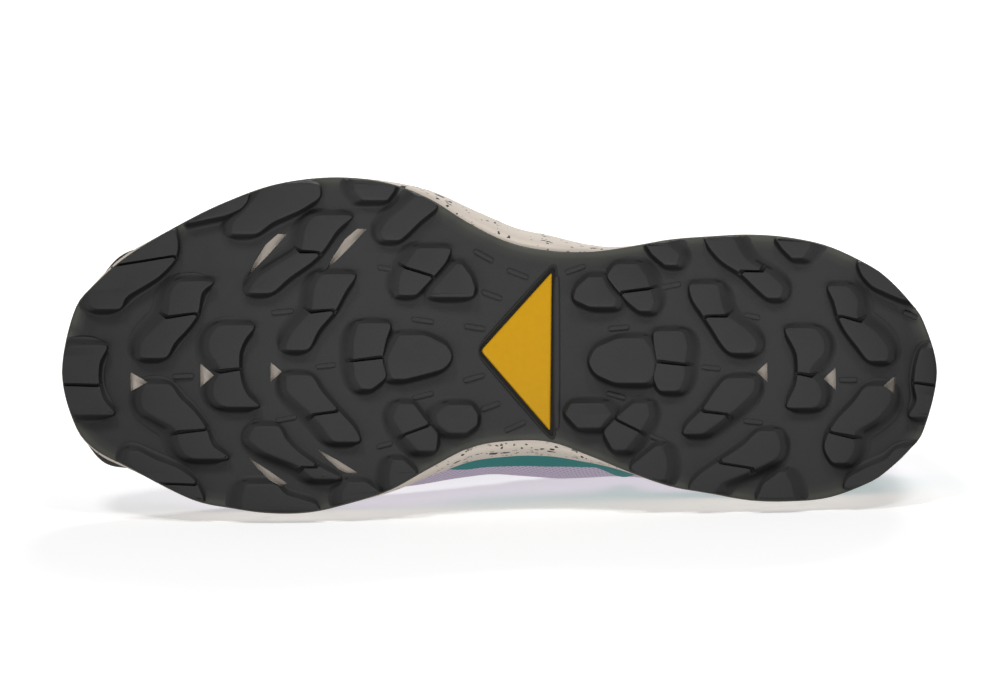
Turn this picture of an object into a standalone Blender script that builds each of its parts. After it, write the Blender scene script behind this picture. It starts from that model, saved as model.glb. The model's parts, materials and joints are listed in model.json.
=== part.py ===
"""A left trail running shoe that lies on its inner side, as the separate pieces a maker puts together.

The shoe is modelled as it stands: toe to -X, inner (medial) side to +Y, up to +Z, tread on z = 0. Every
piece is then carried by one empty that lays the shoe on its inner side, on the three places that bear it.
Run with: blender --background --python part.py
"""
import math

import bmesh
import bpy
import numpy as np
from mathutils import Matrix, Vector

# Driving sizes, in metres
SOLE_LENGTH = 0.285
BALL_WIDTH = 0.109
HEEL_WIDTH = 0.087
FOREFOOT_STACK = 0.024
HEEL_STACK = 0.033
INSTEP_HEIGHT = 0.113
HEEL_HEIGHT = 0.103
ANKLE_HEIGHT = 0.083
TOE_SPRING = 0.018
HEEL_BEVEL = 0.006
ARCH_RISE = 0.0020
LUG_HEIGHT = 0.0036
LUG_DRAFT = 0.0022
PLATE = 0.0024
PLATE_BEVEL = 0.0016
EDGE_MARGIN = 0.0004
MIDSOLE_FLARE = 0.0055
RIM_HEIGHT = 0.005
RIM_WIDTH = 0.0028
SIDE_STEP = 0.0012
INSOLE = 0.004
WALL = 0.002
OVERLAY = 0.0008
TONGUE = 0.005
THROAT_WIDTH = 0.030
LACE_WIDTH = 0.0055
LACE_THICKNESS = 0.0018
LACE_ARCH = 0.30
INSET_GROOVE = 0.0009
INSET_RECESS = 0.0005
GAP = 0.0003
SIDE_SWELL = 0.0012
RIM_EASE = 0.0008
RIM_SLACK = 0.0004
CORNER_RADIUS = 0.0012
LAST_LENGTH = 0.285

PERIMETER = 80
CROSSINGS = 5
# Depth of the lugs' feet inside the plate, as shares of its thickness: no two feet lie on one level
LUG_FOOT = (0.58, 0.82)

# Half widths of the tread's outline, as shares of the width there: along from the heel, lateral, medial
OUTLINE = (
    (1.000, 0.000, 0.000),
    (0.986, 0.180, 0.152),
    (0.963, 0.260, 0.230),
    (0.920, 0.355, 0.290),
    (0.852, 0.457, 0.379),
    (0.806, 0.513, 0.406),
    (0.761, 0.555, 0.421),
    (0.715, 0.576, 0.418),
    (0.670, 0.579, 0.391),
    (0.624, 0.563, 0.353),
    (0.579, 0.525, 0.292),
    (0.533, 0.461, 0.236),
    (0.488, 0.416, 0.222),
    (0.442, 0.405, 0.234),
    (0.396, 0.417, 0.292),
    (0.351, 0.450, 0.360),
    (0.305, 0.488, 0.421),
    (0.260, 0.506, 0.453),
    (0.214, 0.513, 0.479),
    (0.169, 0.502, 0.483),
    (0.123, 0.468, 0.468),
    (0.077, 0.397, 0.412),
    (0.055, 0.345, 0.363),
    (0.032, 0.266, 0.292),
    (0.015, 0.184, 0.214),
    (0.000, 0.000, 0.000),
)

# Ribs of the upper from the sole's edge to the topline. Foot and top are along the sole, across is the
# topline's distance from the middle as a share of the throat's width, height is a share of the height
# named in its column. The handles that shape the rib follow in millimetres of a last of LAST_LENGTH: rise
# and lean at the foot, then run forward, spread outward (lateral, medial) and drop at the top.
# name, foot, top, across, height, of, rise, lean lateral, lean medial, run, spread lateral, spread
# medial, drop
RIBS = (
    ("toe", 1.000, 0.620, 0.00, 0.70, "instep", 25, 1, 1, 60, 0, 0, 14),
    ("toe corner", 0.930, 0.612, 0.27, 0.71, "instep", 23, 2, 2, 45, 13, 13, 14),
    ("toe joint", 0.840, 0.600, 0.40, 0.725, "instep", 21, 3, 3, 24, 21, 21, 14),
    ("ball", 0.740, 0.575, 0.46, 0.76, "instep", 20, 4, 3, 9, 24, 24, 16),
    ("waist", 0.560, 0.490, 0.50, 0.86, "instep", 24, 4, 7, 2, 22, 28, 17),
    ("arch", 0.450, 0.420, 0.55, 0.95, "instep", 26, 4, 8, 0, 18, 32, 20),
    ("instep", 0.370, 0.355, 0.62, 1.00, "instep", 27, 4, 5, 0, 13, 27, 22),
    ("collar", 0.310, 0.310, 0.90, 0.93, "instep", 26, 3, 4, 0, 6, 13, 22),
    ("collar side", 0.255, 0.255, 1.06, 1.10, "ankle", 21, 2, 3, 0, 3, 5, 18),
    ("ankle", 0.190, 0.195, 1.12, 1.00, "ankle", 18, 2, 3, 0, 2, 2, 17),
    ("quarter", 0.130, 0.135, 1.05, 1.03, "ankle", 19, 3, 3, 0, 3, 3, 18),
    ("heel side", 0.070, 0.075, 0.82, 0.92, "heel", 22, 3, 3, 0, 4, 4, 20),
    ("heel", 0.000, 0.030, 0.00, 1.00, "heel", 24, 3, 3, 0, 0, 0, 22),
)

# Steps in the wall along each rib, as shares of the rib: top of the guard, start of the top band
STEPS = {
    "toe": (0.30, 0.88),
    "toe corner": (0.30, 0.86),
    "toe joint": (0.22, 0.82),
    "ball": (0.14, 0.76),
    "waist": (0.17, 0.74),
    "arch": (0.24, 0.74),
    "instep": (0.30, 0.76),
    "collar": (0.38, 0.80),
    "collar side": (0.45, 0.79),
    "ankle": (0.50, 0.78),
    "quarter": (0.57, 0.80),
    "heel side": (0.62, 0.84),
    "heel": (0.66, 0.86),
}

# Lugs: stations from the lateral to the medial side, as across (share of the ball or heel width from the
# reference line, lateral positive), front and rear (shares of the length from the heel)
FOREFOOT_LUGS = {
    "toe tip": ((0.09, 0.988, 0.944), (0.02, 0.994, 0.957), (-0.04, 0.994, 0.957), (-0.13, 0.982, 0.936)),
    "toe corner lateral": ((0.42, 0.896, 0.870), (0.33, 0.940, 0.870), (0.22, 0.962, 0.929),
                           (0.18, 0.966, 0.929)),
    "crescent lateral": ((0.53, 0.800, 0.785), (0.49, 0.828, 0.793), (0.445, 0.856, 0.849)),
    "edge wing lateral": ((0.56, 0.768, 0.704), (0.48, 0.792, 0.728), (0.41, 0.808, 0.776)),
    "edge block lateral": ((0.57, 0.667, 0.616), (0.51, 0.656, 0.628)),
    "edge rear lateral": ((0.525, 0.597, 0.576), (0.45, 0.628, 0.589), (0.39, 0.632, 0.613)),
    "second row lateral": ((0.27, 0.867, 0.822), (0.17, 0.878, 0.843), (0.085, 0.911, 0.870),
                           (0.04, 0.912, 0.878)),
    "third row lateral": ((0.465, 0.713, 0.663), (0.36, 0.727, 0.699), (0.28, 0.777, 0.740),
                          (0.235, 0.788, 0.757)),
    "fourth row lateral": ((0.29, 0.705, 0.661), (0.18, 0.714, 0.686), (0.12, 0.736, 0.706),
                           (0.065, 0.747, 0.716)),
    "centre chevron": ((0.14, 0.823, 0.776), (0.06, 0.833, 0.796), (0.005, 0.818, 0.796),
                       (-0.04, 0.828, 0.793),
                       (-0.105, 0.818, 0.770)),
    "centre block": ((0.145, 0.662, 0.622), (0.04, 0.667, 0.633), (-0.05, 0.658, 0.642)),
    "centre fan": ((0.11, 0.615, 0.583), (0.04, 0.629, 0.552), (-0.025, 0.623, 0.606)),
    "waist hook lateral": ((0.37, 0.595, 0.554), (0.28, 0.615, 0.575), (0.23, 0.616, 0.595)),
    "waist leaf lateral": ((0.32, 0.550, 0.542), (0.25, 0.575, 0.527), (0.22, 0.580, 0.530)),
    "toe corner medial": ((-0.235, 0.925, 0.911), (-0.29, 0.922, 0.867), (-0.345, 0.884, 0.843),
                          (-0.385, 0.856, 0.838)),
    "second row medial": ((-0.035, 0.907, 0.874), (-0.115, 0.909, 0.850), (-0.17, 0.869, 0.833),
                          (-0.26, 0.855, 0.804)),
    "third row medial": ((-0.16, 0.780, 0.749), (-0.20, 0.789, 0.744), (-0.28, 0.729, 0.706),
                         (-0.32, 0.714, 0.677)),
    "fourth row medial": ((-0.01, 0.745, 0.713), (-0.06, 0.744, 0.702), (-0.12, 0.718, 0.681),
                          (-0.21, 0.691, 0.656)),
    "edge wing medial": ((-0.335, 0.790, 0.754), (-0.37, 0.794, 0.743), (-0.415, 0.793, 0.703)),
    "edge block medial": ((-0.33, 0.673, 0.651), (-0.36, 0.680, 0.636), (-0.39, 0.680, 0.645)),
    "edge rear medial": ((-0.265, 0.623, 0.608), (-0.31, 0.626, 0.593), (-0.345, 0.624, 0.617)),
    "waist hook medial": ((-0.10, 0.616, 0.597), (-0.14, 0.623, 0.585), (-0.24, 0.593, 0.572)),
    "waist leaf medial": ((-0.10, 0.560, 0.531), (-0.145, 0.575, 0.524), (-0.185, 0.558, 0.538)),
}
HEEL_LUGS = {
    "waist leaf lateral": ((0.355, 0.399, 0.380), (0.29, 0.414, 0.370), (0.245, 0.396, 0.367)),
    "waist hook lateral": ((0.405, 0.368, 0.341), (0.35, 0.376, 0.328), (0.23, 0.341, 0.326)),
    "front block lateral": ((0.47, 0.330, 0.305), (0.40, 0.311, 0.296)),
    "edge wing lateral": ((0.495, 0.268, 0.231), (0.41, 0.246, 0.214), (0.32, 0.208, 0.173),
                          (0.28, 0.195, 0.178)),
    "rear block lateral": ((0.49, 0.186, 0.141), (0.43, 0.166, 0.153)),
    "corner lateral": ((0.41, 0.092, 0.072), (0.32, 0.075, 0.038), (0.27, 0.038, 0.023)),
    "second row lateral": ((0.33, 0.285, 0.248), (0.215, 0.268, 0.240), (0.155, 0.256, 0.215),
                           (0.07, 0.238, 0.208)),
    "third row lateral": ((0.32, 0.128, 0.100), (0.205, 0.114, 0.092), (0.10, 0.092, 0.055),
                          (0.04, 0.080, 0.055)),
    "centre chevron": ((0.165, 0.177, 0.138), (0.07, 0.161, 0.128), (0.005, 0.159, 0.147),
                       (-0.05, 0.162, 0.132),
                       (-0.135, 0.174, 0.137)),
    "centre block": ((0.155, 0.325, 0.288), (0.035, 0.320, 0.287), (-0.07, 0.318, 0.294)),
    "centre fan": ((0.125, 0.364, 0.334), (0.035, 0.399, 0.321), (-0.04, 0.368, 0.329)),
    "heel tip": ((0.09, 0.019, 0.006), (0.02, 0.025, 0.004), (-0.11, 0.023, 0.004), (-0.17, 0.034, 0.012)),
    "waist leaf medial": ((-0.115, 0.418, 0.379), (-0.16, 0.425, 0.370), (-0.21, 0.410, 0.384)),
    "waist hook medial": ((-0.115, 0.347, 0.329), (-0.165, 0.364, 0.327), (-0.225, 0.382, 0.338),
                          (-0.29, 0.370, 0.354)),
    "second row medial": ((-0.02, 0.243, 0.206), (-0.14, 0.269, 0.230), (-0.23, 0.292, 0.267)),
    "third row medial": ((-0.05, 0.083, 0.051), (-0.17, 0.114, 0.066), (-0.23, 0.125, 0.096),
                         (-0.34, 0.121, 0.101)),
    "front block medial": ((-0.275, 0.321, 0.312), (-0.355, 0.351, 0.306), (-0.405, 0.335, 0.310)),
    "edge wing medial": ((-0.22, 0.206, 0.182), (-0.32, 0.244, 0.180), (-0.42, 0.282, 0.248),
                         (-0.46, 0.285, 0.253)),
    "rear block medial": ((-0.375, 0.181, 0.172), (-0.42, 0.199, 0.165), (-0.465, 0.205, 0.161)),
    "corner medial": ((-0.285, 0.047, 0.022), (-0.36, 0.082, 0.042), (-0.435, 0.108, 0.077)),
}

# Small triangular windows on the tread's axis: along, across (ball width), length, half width, point to toe
WINDOWS = (
    (0.911, -0.03, 0.020, 0.029, -1),
    (0.833, -0.01, 0.016, 0.036, -1),
    (0.754, 0.00, 0.013, 0.030, -1),
    (0.200, 0.00, 0.012, 0.030, 1),
    (0.123, -0.02, 0.014, 0.034, 1),
    (0.055, -0.04, 0.013, 0.027, 1),
)
# Slim leaf-shaped windows between the wings: along and across of both points, then the belly's shift
LEAVES = (
    (0.787, 0.285, 0.742, 0.410, 0.050),
    (0.698, 0.300, 0.651, 0.425, 0.050),
    (0.786, -0.255, 0.740, -0.335, -0.030),
    (0.707, -0.230, 0.661, -0.300, -0.030),
)
# Corners of the triangular opening at the waist: along, across as a share of the ball width
INSET_CORNERS = ((0.438, 0.309), (0.523, 0.063), (0.440, -0.189))

# Tongue: along, raise of the whole row and crown of its middle as shares of the throat's width, half width
TONGUE_ROWS = (
    (0.650, -0.22, 0.00, 0.50),
    (0.600, -0.08, 0.02, 0.58),
    (0.540, 0.00, 0.04, 0.64),
    (0.480, 0.00, 0.06, 0.68),
    (0.420, 0.00, 0.08, 0.72),
    (0.360, 0.00, 0.14, 0.76),
    (0.322, 0.18, 0.22, 0.74),
    (0.290, 0.62, 0.22, 0.76),
)


def smooth_step(value, low, high):
    """Rises from 0 to 1 between low and high, flat at both ends."""
    t = np.clip((np.asarray(value, float) - low) / (high - low), 0.0, 1.0)
    return t * t * (3.0 - 2.0 * t)


def hermite(x, xs, ys):
    """A smooth curve through (xs, ys) that never swings past its neighbours."""
    xs = np.asarray(xs, float)
    ys = np.asarray(ys, float)
    step = np.diff(xs)
    slope = np.diff(ys) / step
    tangent = np.zeros_like(ys)
    same = slope[:-1] * slope[1:] > 0
    inner = np.where(same, 2.0 * slope[:-1] * slope[1:] / np.where(same, slope[:-1] + slope[1:], 1.0), 0.0)
    tangent[1:-1] = inner
    tangent[0] = slope[0]
    tangent[-1] = slope[-1]
    x = np.clip(np.asarray(x, float), xs[0], xs[-1])
    i = np.clip(np.searchsorted(xs, x, side="right") - 1, 0, len(step) - 1)
    t = (x - xs[i]) / step[i]
    return ((2 * t**3 - 3 * t**2 + 1) * ys[i] + (t**3 - 2 * t**2 + t) * step[i] * tangent[i]
            + (3 * t**2 - 2 * t**3) * ys[i + 1] + (t**3 - t**2) * step[i] * tangent[i + 1])


def along_to_x(along):
    """The toe is at -X and the heel at +X, with the middle of the sole on the origin."""
    return (0.5 - np.asarray(along, float)) * SOLE_LENGTH


def width_at(along):
    """The reference width: the heel's width behind, the ball's width in front."""
    return HEEL_WIDTH + (BALL_WIDTH - HEEL_WIDTH) * smooth_step(along, 0.25, 0.65)


def tread_height(along):
    """Height of the lug tops: flat from heel to ball, with toe spring and a heel bevel."""
    along = np.asarray(along, float)
    toe = np.clip((along - 0.68) / 0.32, 0.0, 1.0) ** 1.8
    heel = np.clip((0.12 - along) / 0.12, 0.0, 1.0) ** 1.8
    return TOE_SPRING * toe + HEEL_BEVEL * heel


def arch_height(along):
    """The plate arches up a little at the waist, where no lug touches the ground."""
    return ARCH_RISE * smooth_step(along, 0.34, 0.46) * (1.0 - smooth_step(along, 0.46, 0.58))


def plate_height(along):
    return tread_height(along) + LUG_HEIGHT + arch_height(along)


def footbed_height(along):
    """Top of the midsole: the heel stack behind, the forefoot stack in front, thinner to the toe."""
    stack = HEEL_STACK + (FOREFOOT_STACK - HEEL_STACK) * smooth_step(along, 0.30, 0.70)
    thinner = 0.34 * FOREFOOT_STACK * smooth_step(along, 0.72, 1.02)
    return tread_height(along) + stack - thinner


class Edge:
    """The closed outline of the tread, read by side and by place along it."""

    def __init__(self):
        rows = np.array(OUTLINE)
        reach = width_at(rows[:, 0])
        x = along_to_x(rows[:, 0])
        lateral = np.column_stack([x, -rows[:, 1] * reach])
        medial = np.column_stack([x, rows[:, 2] * reach])
        ring = np.vstack([lateral, medial[-2:0:-1]])
        dense = []
        for i in range(len(ring)):
            before, start, end, after = (ring[(i + k) % len(ring)] for k in (-1, 0, 1, 2))
            for t in np.arange(10) / 10.0:
                dense.append(0.5 * (2 * start + (end - before) * t
                                    + (2 * before - 5 * start + 4 * end - after) * t**2
                                    + (3 * start - before - 3 * end + after) * t**3))
        self.points = np.array(dense + [dense[0]])
        chord = np.linalg.norm(np.diff(self.points, axis=0), axis=1)
        self.place = np.concatenate([[0.0], np.cumsum(chord)]) / chord.sum()
        heel_index = 10 * (len(OUTLINE) - 1)
        self.heel_place = self.place[heel_index]
        self.heel_index = heel_index

    def at(self, place):
        """Point on the outline for a share of its run from the toe, down the lateral side."""
        place = np.mod(place, 1.0)
        return np.column_stack([np.interp(place, self.place, self.points[:, k]) for k in (0, 1)])

    def normal(self, place):
        """Outward direction in the plane of the tread."""
        step = 0.004
        run = self.at(np.asarray(place) + step) - self.at(np.asarray(place) - step)
        out = np.column_stack([run[:, 1], -run[:, 0]])
        return out / np.linalg.norm(out, axis=1)[:, None]

    def place_of(self, along, side):
        """Where the outline passes a given share of the length, on the lateral (-1) or medial side."""
        x = along_to_x(along)
        if side < 0:
            part = slice(0, self.heel_index + 1)
        else:
            part = slice(self.heel_index, None)
        xs = self.points[part, 0]
        places = self.place[part]
        order = np.argsort(xs)
        return float(np.interp(x, xs[order], places[order]))


EDGE = Edge()


def rib_places():
    """Each rib's place round the outline, lateral side first, then the medial side back to the toe."""
    lateral = [0.0] + [EDGE.place_of(row[1], -1) for row in RIBS[1:-1]]
    medial = [EDGE.place_of(row[1], 1) for row in RIBS[1:-1]]
    return lateral, EDGE.heel_place, medial


def around(values_lateral, values_medial, place):
    """Carries one column of the ribs smoothly round the outline."""
    lateral, heel, medial = rib_places()
    places = lateral + [heel] + medial[::-1] + [1.0]
    values = list(values_lateral) + list(values_medial[::-1][1:])
    pad = 3
    xs = [p - 1.0 for p in places[-1 - pad:-1]] + places + [p + 1.0 for p in places[1:1 + pad]]
    ys = values[-1 - pad:-1] + values + values[1:1 + pad]
    return hermite(np.mod(place, 1.0), xs, ys)


def rib_column(index, place, medial_index=None, odd=False):
    lateral = [row[index] for row in RIBS]
    medial = [row[medial_index or index] for row in RIBS]
    if odd:
        lateral = [-v for v in lateral]
    return around(lateral, medial, place)


def step_shares(place):
    guard = [STEPS[row[0]][0] for row in RIBS]
    band = [STEPS[row[0]][1] for row in RIBS]
    return around(guard, guard, place), around(band, band, place)


def flare(along, side):
    """How far the midsole stands out past the tread's edge: most at the waist."""
    waist = smooth_step(along, 0.34, 0.46) * (1.0 - smooth_step(along, 0.50, 0.66))
    return MIDSOLE_FLARE * waist * np.where(side < 0, 0.95, 1.15)


def foot_ring(place):
    """The line where the upper meets the footbed, inside the midsole's rim."""
    along = 0.5 - EDGE.at(place)[:, 0] / SOLE_LENGTH
    side = np.sign(EDGE.at(place)[:, 1])
    inset = RIM_WIDTH + GAP + OVERLAY + SIDE_STEP - flare(along, side)
    ring = EDGE.at(place) - EDGE.normal(place) * inset[:, None]
    height = footbed_height(0.5 - ring[:, 0] / SOLE_LENGTH) + GAP
    return np.column_stack([ring, height])


def upper_surface(place, share):
    """A point of the upper: a cubic rib from the footbed's edge to the topline, bent by its handles."""
    place = np.asarray(place, float)
    share = np.asarray(share, float)[:, None]
    last = 0.001 * SOLE_LENGTH / LAST_LENGTH
    foot = foot_ring(place)
    out = EDGE.normal(place)
    heights = {"instep": INSTEP_HEIGHT, "ankle": ANKLE_HEIGHT, "heel": HEEL_HEIGHT}
    top_height = [row[4] * heights[row[5]] for row in RIBS]
    across = rib_column(3, place, odd=True) * THROAT_WIDTH
    top = np.column_stack([along_to_x(rib_column(2, place)), across,
                           around(top_height, top_height, place)])
    rise = rib_column(6, place) * last
    lean = rib_column(7, place, 8) * last
    low = foot + np.column_stack([out * lean[:, None], rise])
    spread = rib_column(10, place, 11, odd=True) * last
    high = top + np.column_stack([-rib_column(9, place) * last, spread, -rib_column(12, place) * last])
    rest = 1.0 - share
    return rest**3 * foot + 3 * rest**2 * share * low + 3 * rest * share**2 * high + share**3 * top


def upper_normal(place, share):
    """Outward direction of the upper's surface."""
    step = 0.002
    low = np.clip(share - 0.01, 0.0, 1.0)
    high = np.clip(share + 0.01, 0.0, 1.0)
    run = upper_surface(place + step, share) - upper_surface(place - step, share)
    climb = upper_surface(place, high) - upper_surface(place, low)
    normal = np.cross(run, climb)
    return normal / np.linalg.norm(normal, axis=1)[:, None]


def make_object(name, vertices, faces, colour, roughness=0.6):
    """A named mesh object in the shoe's collection with its own material."""
    mesh = bpy.data.meshes.new(name)
    mesh.from_pydata([tuple(v) for v in vertices], [], faces)
    mesh.update()
    obj = bpy.data.objects.new(name, mesh)
    SHOE.objects.link(obj)
    material = bpy.data.materials.new(name)
    material.use_nodes = True
    shader = material.node_tree.nodes["Principled BSDF"]
    shader.inputs["Base Color"].default_value = (*colour, 1.0)
    shader.inputs["Roughness"].default_value = roughness
    mesh.materials.append(material)
    return obj


def face_outward(obj):
    """Turns a closed mesh's faces outward."""
    bm = bmesh.new()
    bm.from_mesh(obj.data)
    bmesh.ops.recalc_face_normals(bm, faces=bm.faces)
    bm.to_mesh(obj.data)
    bm.free()


def ring_solid(rings):
    """Closed loft through rings of one point count, whose ends are filled across from side to side."""
    count = len(rings[0])
    vertices = np.vstack(rings)
    faces = []
    for k in range(len(rings) - 1):
        low = k * count
        for i in range(count):
            j = (i + 1) % count
            faces.append((low + i, low + j, low + count + j, low + count + i))
    for base in (0, (len(rings) - 1) * count):
        for i in range(1, count // 2 - 1):
            faces.append((base + i, base + i + 1, base + count - i - 1, base + count - i))
        faces.append((base, base + 1, base + count - 1))
        faces.append((base + count // 2 - 1, base + count // 2, base + count // 2 + 1))
    return vertices, faces


def perimeter_places():
    """Even places down the lateral side to the heel and back up the medial side."""
    half = PERIMETER // 2
    down = EDGE.heel_place * np.arange(half) / half
    back = EDGE.heel_place + (1.0 - EDGE.heel_place) * np.arange(half) / half
    return np.concatenate([down, back])


def edge_ring(outset, height_rule, lift=0.0):
    """A ring at a distance out from the tread's edge, at a height that depends on the place along."""
    places = perimeter_places()
    points = EDGE.at(places)
    along = 0.5 - points[:, 0] / SOLE_LENGTH
    side = np.sign(points[:, 1])
    distance = outset(along, side) if callable(outset) else np.full(len(places), outset)
    points = points + EDGE.normal(places) * distance[:, None]
    height = height_rule(along) + lift
    return np.column_stack([points, height])


def kept_inside(x, y):
    """Draws points of a lug back to the tread's edge where its wall would stand out past it."""
    along = 0.5 - x / SOLE_LENGTH
    rows = np.array(OUTLINE[::-1])
    reach = width_at(along)
    lateral = -np.interp(along, rows[:, 0], rows[:, 1]) * reach + EDGE_MARGIN
    medial = np.interp(along, rows[:, 0], rows[:, 2]) * reach - EDGE_MARGIN
    return np.clip(y, lateral, medial)


def lug_solid(stations, width, foot):
    """A lug: its flat top at the ground, walls that spread by the draft, and a foot inside the plate."""
    rows = np.array(stations)
    direction = np.sign(rows[-1, 0] - rows[0, 0])
    grow = np.zeros(len(rows))
    grow[0] = -direction
    grow[-1] = direction
    rings = []
    for extra, sink in ((0.0, 0.0), (LUG_DRAFT, LUG_HEIGHT + foot * PLATE)):
        y = -(rows[:, 0] * width + grow * extra)
        front = along_to_x(rows[:, 1]) - extra
        rear = along_to_x(rows[:, 2]) + extra
        x = np.concatenate([front, rear[::-1]])
        flat = np.concatenate([y, y[::-1]])
        flat = kept_inside(x, flat)
        along = 0.5 - x / SOLE_LENGTH
        height = tread_height(along) + sink + (arch_height(along) if sink else 0.0)
        rings.append(np.column_stack([x, flat, height]))
    count = len(rings[0])
    half = count // 2
    faces = [(i, (i + 1) % count, count + (i + 1) % count, count + i) for i in range(count)]
    for base in (0, count):
        for i in range(half - 1):
            faces.append((base + i, base + i + 1, base + count - 2 - i, base + count - 1 - i))
    return np.vstack(rings), faces


def prism(corners, low, high):
    """An upright prism over a flat outline."""
    count = len(corners)
    vertices = [(x, y, low) for x, y in corners] + [(x, y, high) for x, y in corners]
    faces = [tuple(range(count)), tuple(range(count, 2 * count))]
    for i in range(count):
        j = (i + 1) % count
        faces.append((i, j, count + j, count + i))
    return np.array(vertices), faces


def rounded(corners, radius, steps=3):
    """Rounds the corners of a flat outline with short arcs."""
    result = []
    count = len(corners)
    for i in range(count):
        corner = np.array(corners[i])
        before = np.array(corners[i - 1]) - corner
        after = np.array(corners[(i + 1) % count]) - corner
        start = corner + before / np.linalg.norm(before) * radius
        end = corner + after / np.linalg.norm(after) * radius
        for t in np.linspace(0.0, 1.0, steps):
            result.append((1 - t) ** 2 * start + 2 * t * (1 - t) * corner + t**2 * end)
    return result


def inset_outline(shrink):
    """The triangle at the waist, drawn in from its opening by a margin, with small round corners."""
    corners = [np.array([along_to_x(a), -b * BALL_WIDTH]) for a, b in INSET_CORNERS]
    moved = []
    for i in range(3):
        before = corners[i - 1] - corners[i]
        after = corners[(i + 1) % 3] - corners[i]
        before = before / np.linalg.norm(before)
        after = after / np.linalg.norm(after)
        half_angle = 0.5 * math.acos(float(np.dot(before, after)))
        inward = (before + after) / np.linalg.norm(before + after)
        moved.append(corners[i] + inward * shrink / math.sin(half_angle))
    return rounded(moved, CORNER_RADIUS)


def window_outlines():
    """Outlines of the small triangles and the slim leaves that are cut through the outsole."""
    outlines = []
    for along, across, length, half, way in WINDOWS:
        x = float(along_to_x(along))
        y = -across * BALL_WIDTH
        tip = x - way * 0.5 * length * SOLE_LENGTH
        back = x + way * 0.5 * length * SOLE_LENGTH
        outlines.append([(tip, y), (back, y - half * BALL_WIDTH), (back, y + half * BALL_WIDTH)])
    for along_a, across_a, along_b, across_b, belly in LEAVES:
        start = np.array([along_to_x(along_a), -across_a * BALL_WIDTH])
        end = np.array([along_to_x(along_b), -across_b * BALL_WIDTH])
        run = end - start
        side = np.array([run[1], -run[0]]) * np.sign(belly)
        shares = ((0.0, 0.0), (0.35, -0.01), (0.75, -0.03), (1.0, 0.0), (0.80, 0.17), (0.40, 0.17))
        outlines.append([start + run * t + side * s for t, s in shares])
    return outlines


def boolean(target, tool, operation):
    """Joins or cuts one object with another and keeps the result as a plain mesh."""
    modifier = target.modifiers.new("cut", "BOOLEAN")
    modifier.operation = operation
    modifier.solver = "EXACT"
    modifier.object = tool
    graph = bpy.context.evaluated_depsgraph_get()
    result = bpy.data.meshes.new_from_object(target.evaluated_get(graph))
    target.modifiers.clear()
    old = target.data
    target.data = result
    bpy.data.meshes.remove(old)
    bpy.data.objects.remove(tool)


def tool_object(vertices, faces):
    """A closed helper shape for a cut or a join."""
    obj = make_object("tool", vertices, faces, (0.5, 0.5, 0.5))
    SHOE.objects.unlink(obj)
    CUTTERS.objects.link(obj)
    obj.hide_render = True
    obj.display_type = "WIRE"
    face_outward(obj)
    return obj


def tidy_mesh(obj, distance=0.00002):
    """Merges points that a cut left on top of each other and splits faces into triangles."""
    bm = bmesh.new()
    bm.from_mesh(obj.data)
    bmesh.ops.remove_doubles(bm, verts=bm.verts, dist=distance)
    bmesh.ops.dissolve_degenerate(bm, edges=bm.edges, dist=distance)
    bmesh.ops.triangulate(bm, faces=bm.faces)
    bm.to_mesh(obj.data)
    bm.free()


def make_outsole():
    """The plate with its turned-up edge, the fused lugs, the windows and the opening at the waist."""
    rings = [
        edge_ring(-PLATE_BEVEL, plate_height),
        edge_ring(0.0, plate_height, 0.5 * PLATE),
        edge_ring(0.0, plate_height, PLATE),
    ]
    obj = make_object("outsole", *ring_solid(rings), (0.045, 0.045, 0.043), 0.75)
    face_outward(obj)
    for lugs, width in ((FOREFOOT_LUGS, BALL_WIDTH), (HEEL_LUGS, HEEL_WIDTH)):
        for index, stations in enumerate(lugs.values()):
            foot = LUG_FOOT[0] + (LUG_FOOT[1] - LUG_FOOT[0]) * index / len(lugs)
            boolean(obj, tool_object(*lug_solid(stations, width, foot)), "UNION")
    reach = TOE_SPRING + LUG_HEIGHT + 3 * PLATE
    for outline in window_outlines():
        boolean(obj, tool_object(*prism(outline, -PLATE, reach)), "DIFFERENCE")
    boolean(obj, tool_object(*prism(inset_outline(0.0), -PLATE, reach)), "DIFFERENCE")
    tidy_mesh(obj)
    return obj


def make_inset():
    """The plain triangle that fills the opening, a little below the rubber's face."""
    outline = inset_outline(INSET_GROOVE)
    along = 0.5 - np.array([p[0] for p in outline]) / SOLE_LENGTH
    low = plate_height(along) + INSET_RECESS
    high = plate_height(along) + PLATE
    count = len(outline)
    vertices = [(x, y, z) for (x, y), z in zip(outline, low)] + [(x, y, z) for (x, y), z in zip(outline, high)]
    faces = [tuple(range(count)), tuple(range(count, 2 * count))]
    faces += [(i, (i + 1) % count, count + (i + 1) % count, count + i) for i in range(count)]
    obj = make_object("inset", vertices, faces, (0.63, 0.34, 0.0), 0.45)
    face_outward(obj)
    tidy_mesh(obj)
    return obj


def midsole_out(share):
    """How far the side stands out at a share of its height, for each place along."""
    swell = math.sin(math.pi * share)

    def rule(along, side):
        return flare(along, side) * min(1.0, 0.35 + share) + SIDE_SWELL * swell
    return rule


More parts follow.
